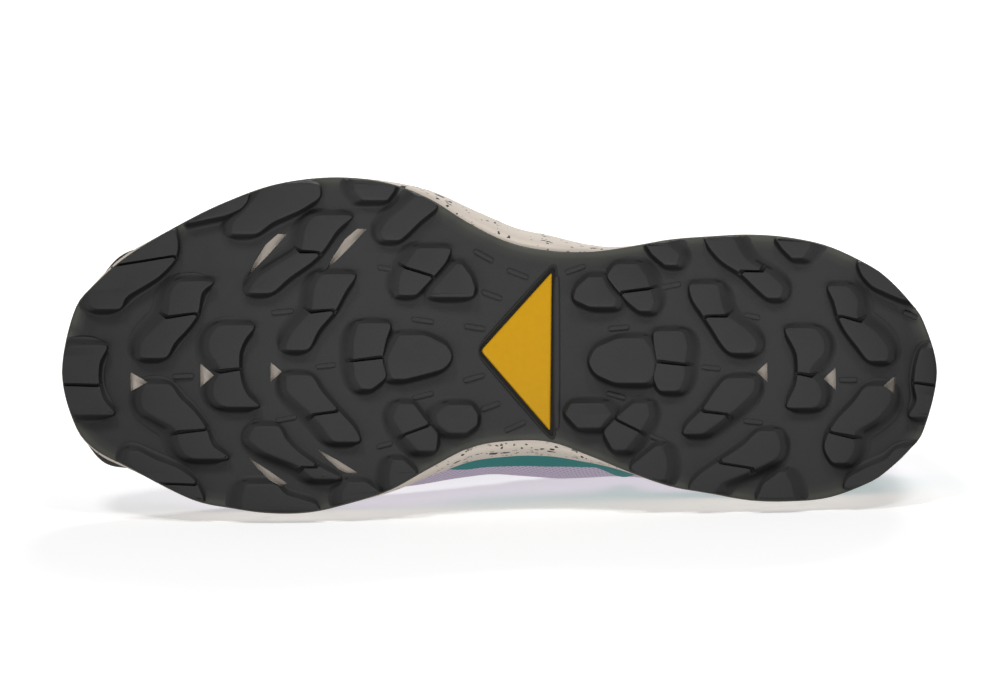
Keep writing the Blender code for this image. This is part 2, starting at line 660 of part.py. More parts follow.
def make_midsole():
    """Foam from the outsole's back to the rim, with a step in its side and a low rim round the footbed."""
    places = perimeter_places()

    def level(share):
        def rule(along):
            base = plate_height(along) + PLATE + GAP
            return base + (footbed_height(along) + RIM_HEIGHT - base) * share
        return rule

    def stepped(share, extra):
        rule = midsole_out(share)
        return lambda along, side: rule(along, side) + extra
    rings = [
        edge_ring(-PLATE_BEVEL, level(0.0)),
        edge_ring(stepped(0.10, 0.0), level(0.07)),
        edge_ring(stepped(0.45, 0.0), level(0.46)),
        edge_ring(stepped(0.47, -SIDE_STEP), level(0.50)),
        edge_ring(stepped(0.80, -SIDE_STEP), level(0.80)),
        edge_ring(stepped(1.0, -SIDE_STEP), level(0.96)),
        edge_ring(stepped(1.0, -SIDE_STEP - RIM_EASE), level(1.0)),
    ]
    foot = foot_ring(places)
    share = RIM_HEIGHT / 0.09
    wall = upper_surface(places, np.full(len(places), share))
    out = EDGE.normal(places)
    inner_top = wall.copy()
    inner_top[:, :2] += out * (OVERLAY + GAP + RIM_SLACK)
    inner_top[:, 2] = rings[-1][:, 2]
    inner_foot = foot.copy()
    inner_foot[:, :2] += out * (OVERLAY + GAP)
    inner_foot[:, 2] -= GAP
    rings += [inner_top, inner_foot]
    obj = make_object("midsole", *ring_solid(rings), (0.63, 0.56, 0.50), 0.8)
    face_outward(obj)
    tidy_mesh(obj)
    return obj


def wall_levels(place):
    """Shares up each rib, with a pair of close levels at each step of the wall, and the wall's extra."""
    guard, band = step_shares(place)
    jump = 0.012
    shares = [0.0 * guard, 0.33 * guard, 0.67 * guard, guard, guard + jump]
    extra = [1, 1, 1, 1, 0]
    for t in (0.33, 0.67):
        shares.append(guard + jump + (band - guard - 2 * jump) * t)
        extra.append(0)
    shares += [band - jump, band, 0.5 * (band + 1.0), 0.0 * band + 1.0]
    extra += [0, 1, 1, 1]
    return shares, extra


def make_upper():
    """One hollow wall: the outer face carries the steps, the inner face runs smooth one wall inside it."""
    places = perimeter_places()
    shares, extra = wall_levels(places)
    outer = []
    inner = []
    for share, step in zip(shares, extra):
        base = upper_surface(places, share)
        normal = upper_normal(places, share)
        outer.append(base + normal * OVERLAY * step)
        inner.append(base - normal * WALL)
    inner[0][:, 2] = outer[0][:, 2]
    count = len(places)
    levels = len(shares)
    vertices = np.vstack(outer + inner[::-1])
    faces = []
    for k in range(2 * levels):
        low = k * count
        high = ((k + 1) % (2 * levels)) * count
        for i in range(count):
            j = (i + 1) % count
            faces.append((low + i, low + j, high + j, high + i))
    obj = make_object("upper", vertices, faces, (0.60, 0.50, 0.68), 0.9)
    face_outward(obj)
    tidy_mesh(obj)
    return obj


def make_insole():
    """A thin pad on the footbed, clear of the wall all round."""
    places = perimeter_places()
    foot = foot_ring(places)
    out = EDGE.normal(places)
    ring = foot[:, :2] - out * (WALL + 2 * GAP)
    along = 0.5 - ring[:, 0] / SOLE_LENGTH
    low = np.column_stack([ring, footbed_height(along) + GAP])
    high = np.column_stack([ring, footbed_height(along) + GAP + INSOLE])
    obj = make_object("insole", *ring_solid([low, high]), (0.12, 0.12, 0.13), 0.9)
    face_outward(obj)
    tidy_mesh(obj)
    return obj


def throat_line(along):
    """Height and half width of the throat's edge at a place along, read from the ribs."""
    rows = [row for row in RIBS if row[5] == "instep"]
    order = sorted(rows, key=lambda row: row[2])
    tops = [row[2] for row in order]
    heights = [row[4] * INSTEP_HEIGHT for row in order]
    halves = [row[3] * THROAT_WIDTH for row in order]
    height = hermite(along, tops, heights)
    slope = (heights[-1] - heights[-2]) / (tops[-1] - tops[-2])
    height = height + np.where(along > tops[-1], (along - tops[-1]) * 1.6 * slope, 0.0)
    return height, hermite(along, tops, halves)


def throat_slope(along, y):
    """How steeply the eyestay on that side falls away from the throat, read from the ribs' top handles."""
    rows = sorted((row for row in RIBS if row[5] == "instep" and row[10] > 0), key=lambda row: row[2])
    spread = 10 if y < 0 else 11
    slope = float(hermite(along, [row[2] for row in rows], [row[12] / row[spread] for row in rows]))
    return min(slope, 1.8)


def instep_height(along, y):
    """A height just over the eyestays: level across the throat, then down along their slope."""
    slope = throat_slope(along, y)
    edge_height, edge_half = throat_line(along)
    past = max(0.0, abs(y) - float(edge_half))
    return float(edge_height) + OVERLAY * math.hypot(1.0, slope) - slope * past


def tongue_height(along, y):
    """Top of the tongue: under the throat's edges at its sides, a little proud of them in the middle."""
    rows = np.array(TONGUE_ROWS[::-1])
    raised, crown, width = (float(hermite(along, rows[:, 0], rows[:, k])) for k in (1, 2, 3))
    edge_height, edge_half = throat_line(along)
    half = max(float(edge_half), 0.15 * THROAT_WIDTH)
    slope = throat_slope(along, y)
    past = max(0.0, abs(y) - 0.85 * half)
    under = 1.2 * math.hypot(1.0, slope) * (WALL + GAP)
    bulge = max(0.0, 1.0 - (y / (width * THROAT_WIDTH)) ** 2)
    return float(edge_height) - under + (raised + crown * bulge) * THROAT_WIDTH - 1.05 * slope * past


def make_tongue():
    """A padded strip that lies just under the throat's edges and stands up past the collar."""
    columns = (-1.0, -0.72, -0.46, -0.22, 0.0, 0.22, 0.46, 0.72, 1.0)
    top = []
    for along, raised, crown, half in TONGUE_ROWS:
        for column in columns:
            y = column * half * THROAT_WIDTH
            top.append((float(along_to_x(along)), y, tongue_height(along, y)))
    wide = len(columns)
    long = len(TONGUE_ROWS)
    faces = []
    for i in range(long - 1):
        for j in range(wide - 1):
            a = i * wide + j
            faces.append((a, a + 1, a + wide + 1, a + wide))
    obj = make_object("tongue", top, faces, (0.55, 0.46, 0.62), 0.9)
    bm = bmesh.new()
    bm.from_mesh(obj.data)
    bmesh.ops.recalc_face_normals(bm, faces=bm.faces)
    bm.faces.ensure_lookup_table()
    if bm.faces[0].normal.z < 0:
        bmesh.ops.reverse_faces(bm, faces=bm.faces)
    bm.to_mesh(obj.data)
    bm.free()
    solid = obj.modifiers.new("thickness", "SOLIDIFY")
    solid.thickness = TONGUE
    solid.offset = -1.0
    return obj


def eyelet(row, side):
    """A point on the eyestay where the lace enters: row 0 is next to the toe."""
    share = row / CROSSINGS
    first, last = (EDGE.place_of(RIBS[k][1], side) for k in (3, 6))
    place = np.array([first + (last - first) * share])
    level = np.array([0.90])
    point = upper_surface(place, level)[0]
    normal = upper_normal(place, level)[0]
    return point + normal * (OVERLAY + 2 * GAP + 0.5 * LACE_THICKNESS), normal


def strand(start, end, start_normal, end_normal, lift):
    """A flat lace strand that arches over the tongue between two eyelets and ends just past them."""
    overrun = LACE_THICKNESS * (end - start) / np.linalg.norm(end - start)
    start = start - overrun + start_normal * lift
    end = end + overrun + end_normal * lift
    run = Vector(end - start)
    up = Vector(start_normal + end_normal).normalized()
    steps = 6
    vertices = []
    for i in range(steps + 1):
        t = i / steps
        centre = Vector(start).lerp(Vector(end), t) + up * LACE_ARCH * run.length * t * (1 - t)
        along = 0.5 - centre.x / SOLE_LENGTH
        floor = max(tongue_height(along, centre.y), instep_height(along, centre.y))
        centre.z = max(centre.z, floor + LACE_THICKNESS + 2 * GAP + lift)
        normal = Vector(start_normal).lerp(Vector(end_normal), t).normalized()
        across = run.cross(normal).normalized()
        normal = across.cross(run).normalized()
        for a, b in ((-1, 0.0), (-0.7, 1.0), (0.7, 1.0), (1, 0.0), (0.7, -1.0), (-0.7, -1.0)):
            vertices.append(centre + across * a * 0.5 * LACE_WIDTH + normal * b * 0.5 * LACE_THICKNESS)
    faces = []
    for i in range(steps):
        for j in range(6):
            k = (j + 1) % 6
            faces.append((i * 6 + j, i * 6 + k, i * 6 + 6 + k, i * 6 + 6 + j))
    faces.append(tuple(range(6)))
    faces.append(tuple(range(steps * 6, steps * 6 + 6)))
    return [tuple(v) for v in vertices], faces


def make_lace():
    """Crossed strands from row to row, joined where they cross and where they share an eyelet."""
    first = strand(eyelet(0, -1)[0], eyelet(0, 1)[0], eyelet(0, -1)[1], eyelet(0, 1)[1], 0.5 * GAP)
    obj = make_object("lace", *first, (0.09, 0.28, 0.30), 0.9)
    face_outward(obj)
    for row in range(CROSSINGS):
        for side in (-1, 1):
            start, start_normal = eyelet(row, side)
            end, end_normal = eyelet(row + 1, -side)
            lift = GAP * (row % 2 + (0.5 if side > 0 else 0.0))
            boolean(obj, tool_object(*strand(start, end, start_normal, end_normal, lift)), "UNION")
    tidy_mesh(obj, 0.000002)
    return obj


def resting_turn(pieces):
    """The turn that brings the shoe to rest on its medial side, on three points of its own hull."""
    cloud = []
    weight = []
    for obj in pieces:
        graph = bpy.context.evaluated_depsgraph_get()
        mesh = obj.evaluated_get(graph).to_mesh()
        points = [v.co.copy() for v in mesh.vertices]
        cloud += points
        mesh.calc_loop_triangles()
        for tri in mesh.loop_triangles:
            a, b, c = (mesh.vertices[i].co for i in tri.vertices)
            weight.append((a.dot(b.cross(c)) / 6.0, (a + b + c) / 4.0))
        obj.evaluated_get(graph).to_mesh_clear()
    volume = sum(w for w, _ in weight)
    centre = sum((w * p for w, p in weight), Vector()) / volume
    bm = bmesh.new()
    for point in cloud:
        bm.verts.new(point)
    hull = bmesh.ops.convex_hull(bm, input=bm.verts)
    best = None
    for face in hull["geom"]:
        if not isinstance(face, bmesh.types.BMFace):
            continue
        normal = face.normal
        if normal.dot(face.calc_center_median() - centre) < 0:
            normal = -normal
        if normal.y < 0.85:
            continue
        foot = centre + normal * normal.dot(face.verts[0].co - centre)
        inside = min((edge_loop.link_loop_next.vert.co - edge_loop.vert.co).cross(
            foot - edge_loop.vert.co).dot(face.normal) for edge_loop in face.loops)
        if best is None or inside > best[0]:
            best = (inside, normal.copy(), foot.copy())
    bm.free()
    down = best[1]
    toe = Vector((-1.0, 0.0, 0.0))
    x_axis = -(toe - down * toe.dot(down)).normalized()
    z_axis = -down
    y_axis = z_axis.cross(x_axis)
    turn = Matrix((x_axis, y_axis, z_axis)).to_4x4()
    lowest = [turn @ p for p in cloud]
    low = Vector([min(p[k] for p in lowest) for k in range(3)])
    high = Vector([max(p[k] for p in lowest) for k in range(3)])
    shift = Vector((-(low.x + high.x) / 2, -(low.y + high.y) / 2, -low.z))
    return Matrix.Translation(shift) @ turn


for old in list(bpy.data.objects):
    bpy.data.objects.remove(old)
SHOE = bpy.data.collections.new("trail_running_shoe")
CUTTERS = bpy.data.collections.new("cutters")
bpy.context.scene.collection.children.link(SHOE)
bpy.context.scene.collection.children.link(CUTTERS)


def main():
    pieces = [make_outsole(), make_inset(), make_midsole(), make_upper(), make_insole(), make_tongue(),
              make_lace()]
    carrier = bpy.data.objects.new("lying_shoe", None)
    SHOE.objects.link(carrier)
    for obj in pieces:
        obj.parent = carrier
        obj.data.shade_smooth()
        obj.data.set_sharp_from_angle(angle=math.radians(35.0))
    carrier.matrix_world = resting_turn(pieces)


main()
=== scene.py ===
"""Looks of a left trail running shoe that lies on its inner side.

Every piece is worked out in the shoe's own frame (toe to -X, inner side to +Y, up to +Z, tread on z = 0)
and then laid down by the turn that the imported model's two tread mounts give.
"""
import json
import math

import bmesh
import bpy
import numpy as np
from bpy.props import FloatProperty, FloatVectorProperty, IntProperty, PointerProperty
from mathutils import Matrix


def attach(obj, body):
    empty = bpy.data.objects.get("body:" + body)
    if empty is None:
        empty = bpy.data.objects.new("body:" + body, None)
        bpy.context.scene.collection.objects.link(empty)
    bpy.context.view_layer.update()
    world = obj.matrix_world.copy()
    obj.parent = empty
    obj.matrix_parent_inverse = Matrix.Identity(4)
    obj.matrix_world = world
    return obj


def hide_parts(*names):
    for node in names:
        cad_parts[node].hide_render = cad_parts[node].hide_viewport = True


bl_info = {
    "name": "Trail running shoe",
    "version": (1, 0, 0),
    "blender": (4, 5, 0),
    "location": "View3D > Sidebar > Shoe",
    "description": "Dresses the packed shoe with its rubber, foam, knit, overlays, lining and lace",
    "category": "Object",
}

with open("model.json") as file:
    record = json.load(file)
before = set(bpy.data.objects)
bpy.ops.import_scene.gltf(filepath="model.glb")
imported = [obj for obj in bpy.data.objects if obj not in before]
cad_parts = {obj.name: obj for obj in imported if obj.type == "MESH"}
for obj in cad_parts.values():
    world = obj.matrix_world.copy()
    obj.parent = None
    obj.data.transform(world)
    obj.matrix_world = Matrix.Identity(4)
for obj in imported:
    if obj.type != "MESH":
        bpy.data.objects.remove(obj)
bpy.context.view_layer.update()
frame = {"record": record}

# The photo's frame, where the tread lies in it, and its widths at the ball and the heel, in its pixels
PHOTO_WIDTH = 1000
PHOTO_HEIGHT = 691
PHOTO_TOE_X = 60
PHOTO_HEEL_X = 938
PHOTO_MIDLINE_Y = 372
PHOTO_BALL = 336
PHOTO_HEEL = 268

# Half widths of the tread's outline, as shares of the width there: along from the heel, lateral, medial
OUTLINE = (
    (1.000, 0.000, 0.000), (0.986, 0.180, 0.152), (0.963, 0.260, 0.230), (0.920, 0.355, 0.290),
    (0.852, 0.457, 0.379), (0.806, 0.513, 0.406), (0.761, 0.555, 0.421), (0.715, 0.576, 0.418),
    (0.670, 0.579, 0.391), (0.624, 0.563, 0.353), (0.579, 0.525, 0.292), (0.533, 0.461, 0.236),
    (0.488, 0.416, 0.222), (0.442, 0.405, 0.234), (0.396, 0.417, 0.292), (0.351, 0.450, 0.360),
    (0.305, 0.488, 0.421), (0.260, 0.506, 0.453), (0.214, 0.513, 0.479), (0.169, 0.502, 0.483),
    (0.123, 0.468, 0.468), (0.077, 0.397, 0.412), (0.055, 0.345, 0.363), (0.032, 0.266, 0.292),
    (0.015, 0.184, 0.214), (0.000, 0.000, 0.000),
)

# name, foot, top, across, height, of, rise, lean lateral, lean medial, run, spread lateral, medial, drop
RIBS = (
    ("toe", 1.000, 0.620, 0.00, 0.70, "instep", 25, 1, 1, 60, 0, 0, 14),
    ("toe corner", 0.930, 0.612, 0.27, 0.71, "instep", 23, 2, 2, 45, 13, 13, 14),
    ("toe joint", 0.840, 0.600, 0.40, 0.725, "instep", 21, 3, 3, 24, 21, 21, 14),
    ("ball", 0.740, 0.575, 0.46, 0.76, "instep", 20, 4, 3, 9, 24, 24, 16),
    ("waist", 0.560, 0.490, 0.50, 0.86, "instep", 24, 4, 7, 2, 22, 28, 17),
    ("arch", 0.450, 0.420, 0.55, 0.95, "instep", 26, 4, 8, 0, 18, 32, 20),
    ("instep", 0.370, 0.355, 0.62, 1.00, "instep", 27, 4, 5, 0, 13, 27, 22),
    ("collar", 0.310, 0.310, 0.90, 0.93, "instep", 26, 3, 4, 0, 6, 13, 22),
    ("collar side", 0.255, 0.255, 1.06, 1.10, "ankle", 21, 2, 3, 0, 3, 5, 18),
    ("ankle", 0.190, 0.195, 1.12, 1.00, "ankle", 18, 2, 3, 0, 2, 2, 17),
    ("quarter", 0.130, 0.135, 1.05, 1.03, "ankle", 19, 3, 3, 0, 3, 3, 18),
    ("heel side", 0.070, 0.075, 0.82, 0.92, "heel", 22, 3, 3, 0, 4, 4, 20),
    ("heel", 0.000, 0.030, 0.00, 1.00, "heel", 24, 3, 3, 0, 0, 0, 22),
)

# Overlays along each rib, as shares of the rib: top of the guard, start of the top band
STEPS = {
    "toe": (0.30, 0.88), "toe corner": (0.30, 0.86), "toe joint": (0.22, 0.82), "ball": (0.14, 0.76),
    "waist": (0.17, 0.74), "arch": (0.24, 0.74), "instep": (0.30, 0.76), "collar": (0.38, 0.80),
    "collar side": (0.45, 0.79), "ankle": (0.50, 0.78), "quarter": (0.57, 0.80),
    "heel side": (0.62, 0.84), "heel": (0.66, 0.86),
}

# Lugs of the forefoot and the heel, read off the photo in its pixels from the lateral to the medial side.
# name: sipe (its height on the photo and its slope, or None), then stations as height, front, rear
FOREFOOT_LUGS = {
    "toe tip": ((385, 0.0), (345, 64, 108), (362, 58, 98), (380, 58, 97), (400, 60, 102), (415, 68, 116)),
    "toe corner lateral": ((257, 0.0), (228, 150, 175), (246, 125, 178), (260, 105, 175), (277, 88, 158),
                           (298, 84, 122), (309, 89, 122)),
    "crescent lateral": (None, (193, 238, 249), (200, 226, 248), (208, 210, 242), (215, 196, 226),
                         (222, 186, 192)),
    "edge wing lateral": (None, (183, 264, 320), (197, 254, 321), (210, 243, 300), (222, 231, 272),
                          (234, 229, 257)),
    "edge block lateral": (None, (180, 352, 397), (191, 353, 394), (200, 362, 387)),
    "edge rear lateral": (None, (196, 414, 430), (207, 402, 438), (220, 386, 421), (232, 378, 409),
                          (240, 383, 400)),
    "second row lateral": ((315, -0.04), (281, 177, 216), (291, 168, 201), (314, 167, 198), (328, 152, 188),
                           (343, 138, 173), (358, 137, 167)),
    "third row lateral": ((252, 0.20), (215, 312, 356), (228, 303, 338), (250, 301, 324), (262, 280, 312),
                          (278, 255, 288), (293, 245, 273)),
    "fourth row lateral": ((311, 0.04), (274, 319, 358), (290, 312, 346), (310, 311, 336), (330, 292, 318),
                           (350, 282, 309)),
    "centre chevron": ((370, -0.10), (325, 216, 257), (338, 207, 245), (352, 207, 239), (369, 220, 239),
                       (385, 211, 242), (397, 211, 248), (407, 220, 262)),
    "centre block": ((359, -0.10), (323, 357, 392), (340, 352, 386), (359, 352, 382), (377, 353, 387),
                     (389, 360, 372)),
    "centre fan": (None, (335, 398, 426), (346, 392, 448), (358, 386, 453), (369, 387, 444), (379, 391, 406)),
    "waist hook lateral": ((272, 0.37), (248, 416, 452), (262, 406, 446), (277, 398, 433), (295, 397, 416)),
    "waist leaf lateral": (None, (264, 455, 462), (276, 444, 471), (288, 433, 475), (297, 429, 473)),
    "toe corner medial": ((485, -0.08), (451, 126, 138), (460, 122, 155), (468, 130, 177), (480, 146, 195),
                          (491, 170, 200), (501, 190, 204)),
    "second row medial": ((431, -0.15), (384, 142, 171), (397, 138, 178), (410, 140, 193), (429, 175, 207),
                          (446, 177, 211), (459, 187, 232)),
    "third row medial": ((467, -0.28), (426, 253, 280), (439, 245, 285), (452, 262, 298), (466, 298, 318),
                         (479, 311, 344)),
    "fourth row medial": ((413, -0.26), (375, 284, 312), (392, 285, 322), (412, 308, 340), (428, 322, 355),
                          (442, 331, 362)),
    "edge wing medial": (None, (484, 244, 276), (495, 241, 286), (504, 240, 316), (511, 242, 321)),
    "edge block medial": (None, (482, 347, 366), (492, 341, 380), (504, 341, 372)),
    "edge rear medial": (None, (460, 391, 404), (473, 388, 417), (489, 388, 396)),
    "waist hook medial": ((430, -0.45), (404, 397, 414), (418, 391, 424), (434, 401, 438), (451, 417, 436)),
    "waist leaf medial": (None, (405, 446, 472), (415, 434, 478), (425, 437, 477), (433, 448, 466)),
}
HEEL_LUGS = {
    "waist leaf lateral": (None, (277, 588, 604), (288, 576, 609), (299, 573, 618), (307, 590, 616)),
    "waist hook lateral": ((291, -0.20), (264, 615, 639), (276, 606, 648), (290, 617, 652), (302, 628, 656),
                           (311, 639, 652)),
    "front block lateral": (None, (243, 645, 667), (254, 652, 681), (265, 665, 678)),
    "edge wing lateral": ((271, -0.19), (237, 703, 735), (250, 711, 741), (262, 722, 750), (273, 741, 770),
                          (287, 755, 786), (298, 767, 782)),
    "rear block lateral": (None, (238, 775, 814), (248, 782, 811), (258, 792, 804)),
    "corner lateral": (None, (262, 857, 872), (275, 862, 892), (286, 872, 905), (295, 892, 915),
                       (300, 905, 918)),
    "second row lateral": ((316, -0.15), (284, 688, 720), (300, 692, 722), (315, 703, 727), (330, 713, 749),
                           (342, 720, 760), (353, 729, 755)),
    "third row lateral": ((318, 0.10), (286, 826, 850), (300, 834, 861), (317, 838, 857), (331, 845, 877),
                          (346, 857, 890), (361, 868, 890)),
    "centre chevron": ((374, 0.08), (328, 783, 817), (340, 790, 826), (353, 797, 826), (371, 798, 809),
                       (385, 796, 822), (397, 790, 824), (408, 785, 818)),
    "centre block": ((363, 0.10), (331, 653, 685), (346, 654, 689), (362, 657, 686), (378, 653, 686),
                     (391, 659, 680)),
    "centre fan": (None, (338, 618, 645), (348, 595, 652), (362, 588, 656), (374, 595, 655), (383, 615, 649)),
    "heel tip": ((384, 0.10), (348, 921, 936), (366, 916, 936), (384, 914, 936), (401, 918, 936),
                 (417, 908, 932)),
    "waist leaf medial": (None, (403, 571, 605), (414, 565, 613), (428, 578, 601)),
    "waist hook medial": ((425, 0.55), (403, 633, 649), (416, 618, 651), (432, 603, 641), (450, 613, 627)),
    "second row medial": ((413, 0.26), (378, 725, 757), (392, 714, 755), (410, 702, 736), (424, 687, 718),
                          (434, 682, 704)),
    "third row medial": ((434, 0.24), (386, 865, 893), (402, 854, 893), (418, 838, 880), (433, 828, 854),
                         (448, 823, 857), (463, 832, 849)),
    "front block medial": (None, (446, 656, 664), (457, 642, 668), (467, 630, 669), (480, 644, 666)),
    "edge wing medial": ((466, 0.30), (431, 757, 778), (445, 744, 783), (458, 724, 780), (472, 702, 750),
                         (484, 690, 720), (495, 688, 716)),
    "rear block medial": (None, (472, 779, 787), (484, 763, 793), (501, 756, 797)),
    "corner medial": (None, (448, 897, 925), (460, 886, 915), (468, 866, 905), (478, 847, 890),
                      (488, 843, 870)),
}

# Small triangular windows on the tread's axis: along, across (ball width), length, half width, point to toe
WINDOWS = (
    (0.911, -0.03, 0.020, 0.029, -1), (0.833, -0.01, 0.016, 0.036, -1), (0.754, 0.00, 0.013, 0.030, -1),
    (0.200, 0.00, 0.012, 0.030, 1), (0.123, -0.02, 0.014, 0.034, 1), (0.055, -0.04, 0.013, 0.027, 1),
)
# Slim leaf-shaped windows between the wings: along and across of both points, then the belly's shift
LEAVES = (
    (0.787, 0.285, 0.742, 0.410, 0.050), (0.698, 0.300, 0.651, 0.425, 0.050),
    (0.786, -0.255, 0.740, -0.335, -0.030), (0.707, -0.230, 0.661, -0.300, -0.030),
)
# Corners of the triangular opening at the waist: along, across as a share of the ball width
INSET_CORNERS = ((0.438, 0.309), (0.523, 0.063), (0.440, -0.189))

# Raised bars between the lugs: along and across (share of the ball width) of both ends
BARS = (
    (0.759, 0.176, 0.735, 0.182), (0.638, 0.313, 0.618, 0.304), (0.599, 0.158, 0.575, 0.149),
    (0.539, 0.137, 0.516, 0.128), (0.528, 0.361, 0.507, 0.331), (0.490, 0.304, 0.467, 0.281),
    (0.519, 0.239, 0.497, 0.218), (0.708, 0.015, 0.687, 0.021), (0.872, -0.015, 0.849, -0.012),
    (0.754, -0.146, 0.731, -0.134), (0.598, -0.078, 0.575, -0.063), (0.540, -0.027, 0.517, -0.009),
    (0.520, -0.113, 0.499, -0.093), (0.639, -0.224, 0.622, -0.212), (0.493, -0.176, 0.470, -0.149),
    (0.424, 0.296, 0.402, 0.316), (0.315, 0.251, 0.293, 0.263), (0.375, 0.128, 0.352, 0.134),
    (0.269, 0.015, 0.248, 0.009), (0.220, 0.170, 0.203, 0.161), (0.377, -0.063, 0.356, -0.078),
    (0.330, -0.188, 0.309, -0.209), (0.221, -0.146, 0.200, -0.152), (0.112, -0.024, 0.092, -0.024),
    (0.038, 0.179, 0.023, 0.161),
)

# Spacing of the holes in the upper's knit, and a middling length of a rib, which sizes patterns up the side
KNIT_PITCH = 0.0026
RIB_LENGTH = 0.085

# Ends of the throat along the shoe
THROAT_FRONT = 0.80
THROAT_REAR = 0.32

# Least distance of a lug's foot from the tread's edge, and how far the opening is wider than the triangle
EDGE_MARGIN = 0.0004
OPENING_MARGIN = -0.0006

# Height of an overlay's edge, and how far its underside is sunk in the knit
FILM_EDGE = 0.00005
FILM_SINK = 0.0003

# The slim raised band beside the opening at the waist, given like a bar
WAIST_BAND = (0.434, 0.286, 0.434, -0.170)

# Tongue: along, raise of the whole row and crown of its middle as shares of the throat's width, half width
TONGUE_ROWS = (
    (0.650, -0.22, 0.00, 0.50), (0.600, -0.08, 0.02, 0.58), (0.540, 0.00, 0.04, 0.64),
    (0.480, 0.00, 0.06, 0.68), (0.420, 0.00, 0.08, 0.72), (0.360, 0.00, 0.14, 0.76),
    (0.322, 0.18, 0.22, 0.74), (0.290, 0.62, 0.22, 0.76),
)

# Creases of the upper: along, slant, share of the rib at its middle, reach, width along, depth (walls)
CREASES = (
    (0.652, -0.06, 0.66, 0.30, 0.011, 0.55), (0.690, -0.08, 0.70, 0.27, 0.010, 0.45),
    (0.732, -0.10, 0.74, 0.22, 0.010, 0.30), (0.205, 0.10, 0.70, 0.22, 0.014, 0.40),
    (0.262, 0.14, 0.62, 0.24, 0.015, 0.35), (0.118, -0.06, 0.66, 0.18, 0.013, 0.25),
)


def length_property(name, text, size):
    return FloatProperty(name=name, description=text, default=size, unit="LENGTH", precision=4)


def srgb(code):
    """A hex colour turned from sRGB to linear light."""
    parts = [int(code[i:i + 2], 16) / 255.0 for i in (1, 3, 5)]
    return [c / 12.92 if c <= 0.04045 else ((c + 0.055) / 1.055) ** 2.4 for c in parts]


def colour_property(name, text, code):
    return FloatVectorProperty(name=name, description=text, default=srgb(code), subtype="COLOR",
                               size=3, min=0.0, max=1.0)


class ShoeSizes(bpy.types.PropertyGroup):
    """Sizes of the shoe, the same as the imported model's."""

    sole_length: length_property("Sole length", "Tip to heel of the tread", 0.285)
    ball_width: length_property("Ball width", "Reference width in front", 0.109)
    heel_width: length_property("Heel width", "Reference width behind", 0.087)
    forefoot_stack: length_property("Forefoot stack", "Ground to footbed at the ball", 0.024)
    heel_stack: length_property("Heel stack", "Ground to footbed at the heel", 0.033)
    instep_height: length_property("Instep height", "Ground to the top eyelets", 0.113)
    heel_height: length_property("Heel height", "Ground to the top of the heel", 0.103)
    ankle_height: length_property("Ankle height", "Ground to the dip of the collar", 0.083)
    toe_spring: length_property("Toe spring", "Rise of the tread at the tip", 0.018)
    heel_bevel: length_property("Heel bevel", "Rise of the tread at the heel", 0.006)
    arch_rise: length_property("Arch rise", "Rise of the plate at the waist", 0.0020)
    lug_height: length_property("Lug height", "Plate to lug top", 0.0036)
    lug_draft: length_property("Lug draft", "Spread of a lug's walls at the plate", 0.0022)
    sipe: length_property("Sipe width", "Width of the cut across a lug", 0.0010)
    sipe_depth: length_property("Sipe depth", "Depth of the cut across a lug", 0.0019)
    inset_groove: length_property("Inset groove", "Gap round the inset", 0.0009)
    plate: length_property("Plate", "Thickness of the rubber plate", 0.0024)
    plate_bevel: length_property("Plate bevel", "Turned edge of the plate", 0.0016)
    flare: length_property("Flare", "Midsole past the tread at the waist", 0.0055)
    rim_height: length_property("Rim height", "Midsole rim above the footbed", 0.005)
    rim_width: length_property("Rim width", "Thickness of the rim", 0.0028)
    side_swell: length_property("Side swell", "Bulge of the midsole's side at the waist", 0.0012)
    side_step: length_property("Side step", "Step along the midsole's side", 0.0012)
    insole: length_property("Insole", "Thickness of the insole", 0.004)
    wall: length_property("Wall", "Thickness of the upper", 0.002)
    overlay: length_property("Overlay", "Height of the overlays on the wall", 0.0008)
    tongue: length_property("Tongue", "Thickness of the tongue", 0.005)
    throat_width: length_property("Throat width", "Reference width of the throat", 0.030)
    lace_width: length_property("Lace width", "Width of the flat lace", 0.0055)
    lace_thickness: length_property("Lace thickness", "Thickness of the lace", 0.0018)
    gap: length_property("Gap", "Clearance between pieces", 0.0003)
    crossings: IntProperty(name="Crossings", description="Crossed rows of the lace", default=5, min=1)


class ShoeColours(bpy.types.PropertyGroup):
    """Colours of the shoe's materials."""

    rubber: colour_property("Rubber", "Carbon rubber of the tread", "#2D2D2D")
    # Painted highlight: the paler edge stands for light caught on the tread's turned bevel.
    rubber_edge_highlight: colour_property("Rubber edge", "Buffed outer edge of the tread", "#4A4A44")
    inset: colour_property("Inset", "Plain triangle at the waist", "#C49200")
    foam: colour_property("Foam", "Midsole foam", "#E2D6C9")
    fleck: colour_property("Fleck", "Dark flecks in the foam", "#2E2A28")
    knit: colour_property("Knit", "Lilac knit of the upper", "#D3C0DE")
    band: colour_property("Band", "Teal overlays", "#0A8280")
    guard: colour_property("Guard", "Dark toe guard", "#3B3836")
    lining: colour_property("Lining", "Collar lining", "#27484D")
    footbed: colour_property("Footbed", "Insole cloth", "#2B2C30")
    lace: colour_property("Lace", "Woven lace", "#156B73")
    stitch: colour_property("Stitch", "Sewing thread", "#BFA9CF")
    floor: colour_property("Floor", "Pale floor", "#F4F4F4")


def sizes():
    return bpy.context.scene.shoe_sizes


def colours():
    return bpy.context.scene.shoe_colours


def smooth_step(value, low, high):
    """Rises from 0 to 1 between low and high, flat at both ends."""
    t = np.clip((np.asarray(value, float) - low) / (high - low), 0.0, 1.0)
    return t * t * (3.0 - 2.0 * t)


def unit(vectors):
    """Vectors brought to length 1."""
    return vectors / np.linalg.norm(vectors, axis=-1, keepdims=True)


def angles(count):
    """Even angles round a circle."""
    return 2.0 * np.pi * np.arange(count) / count


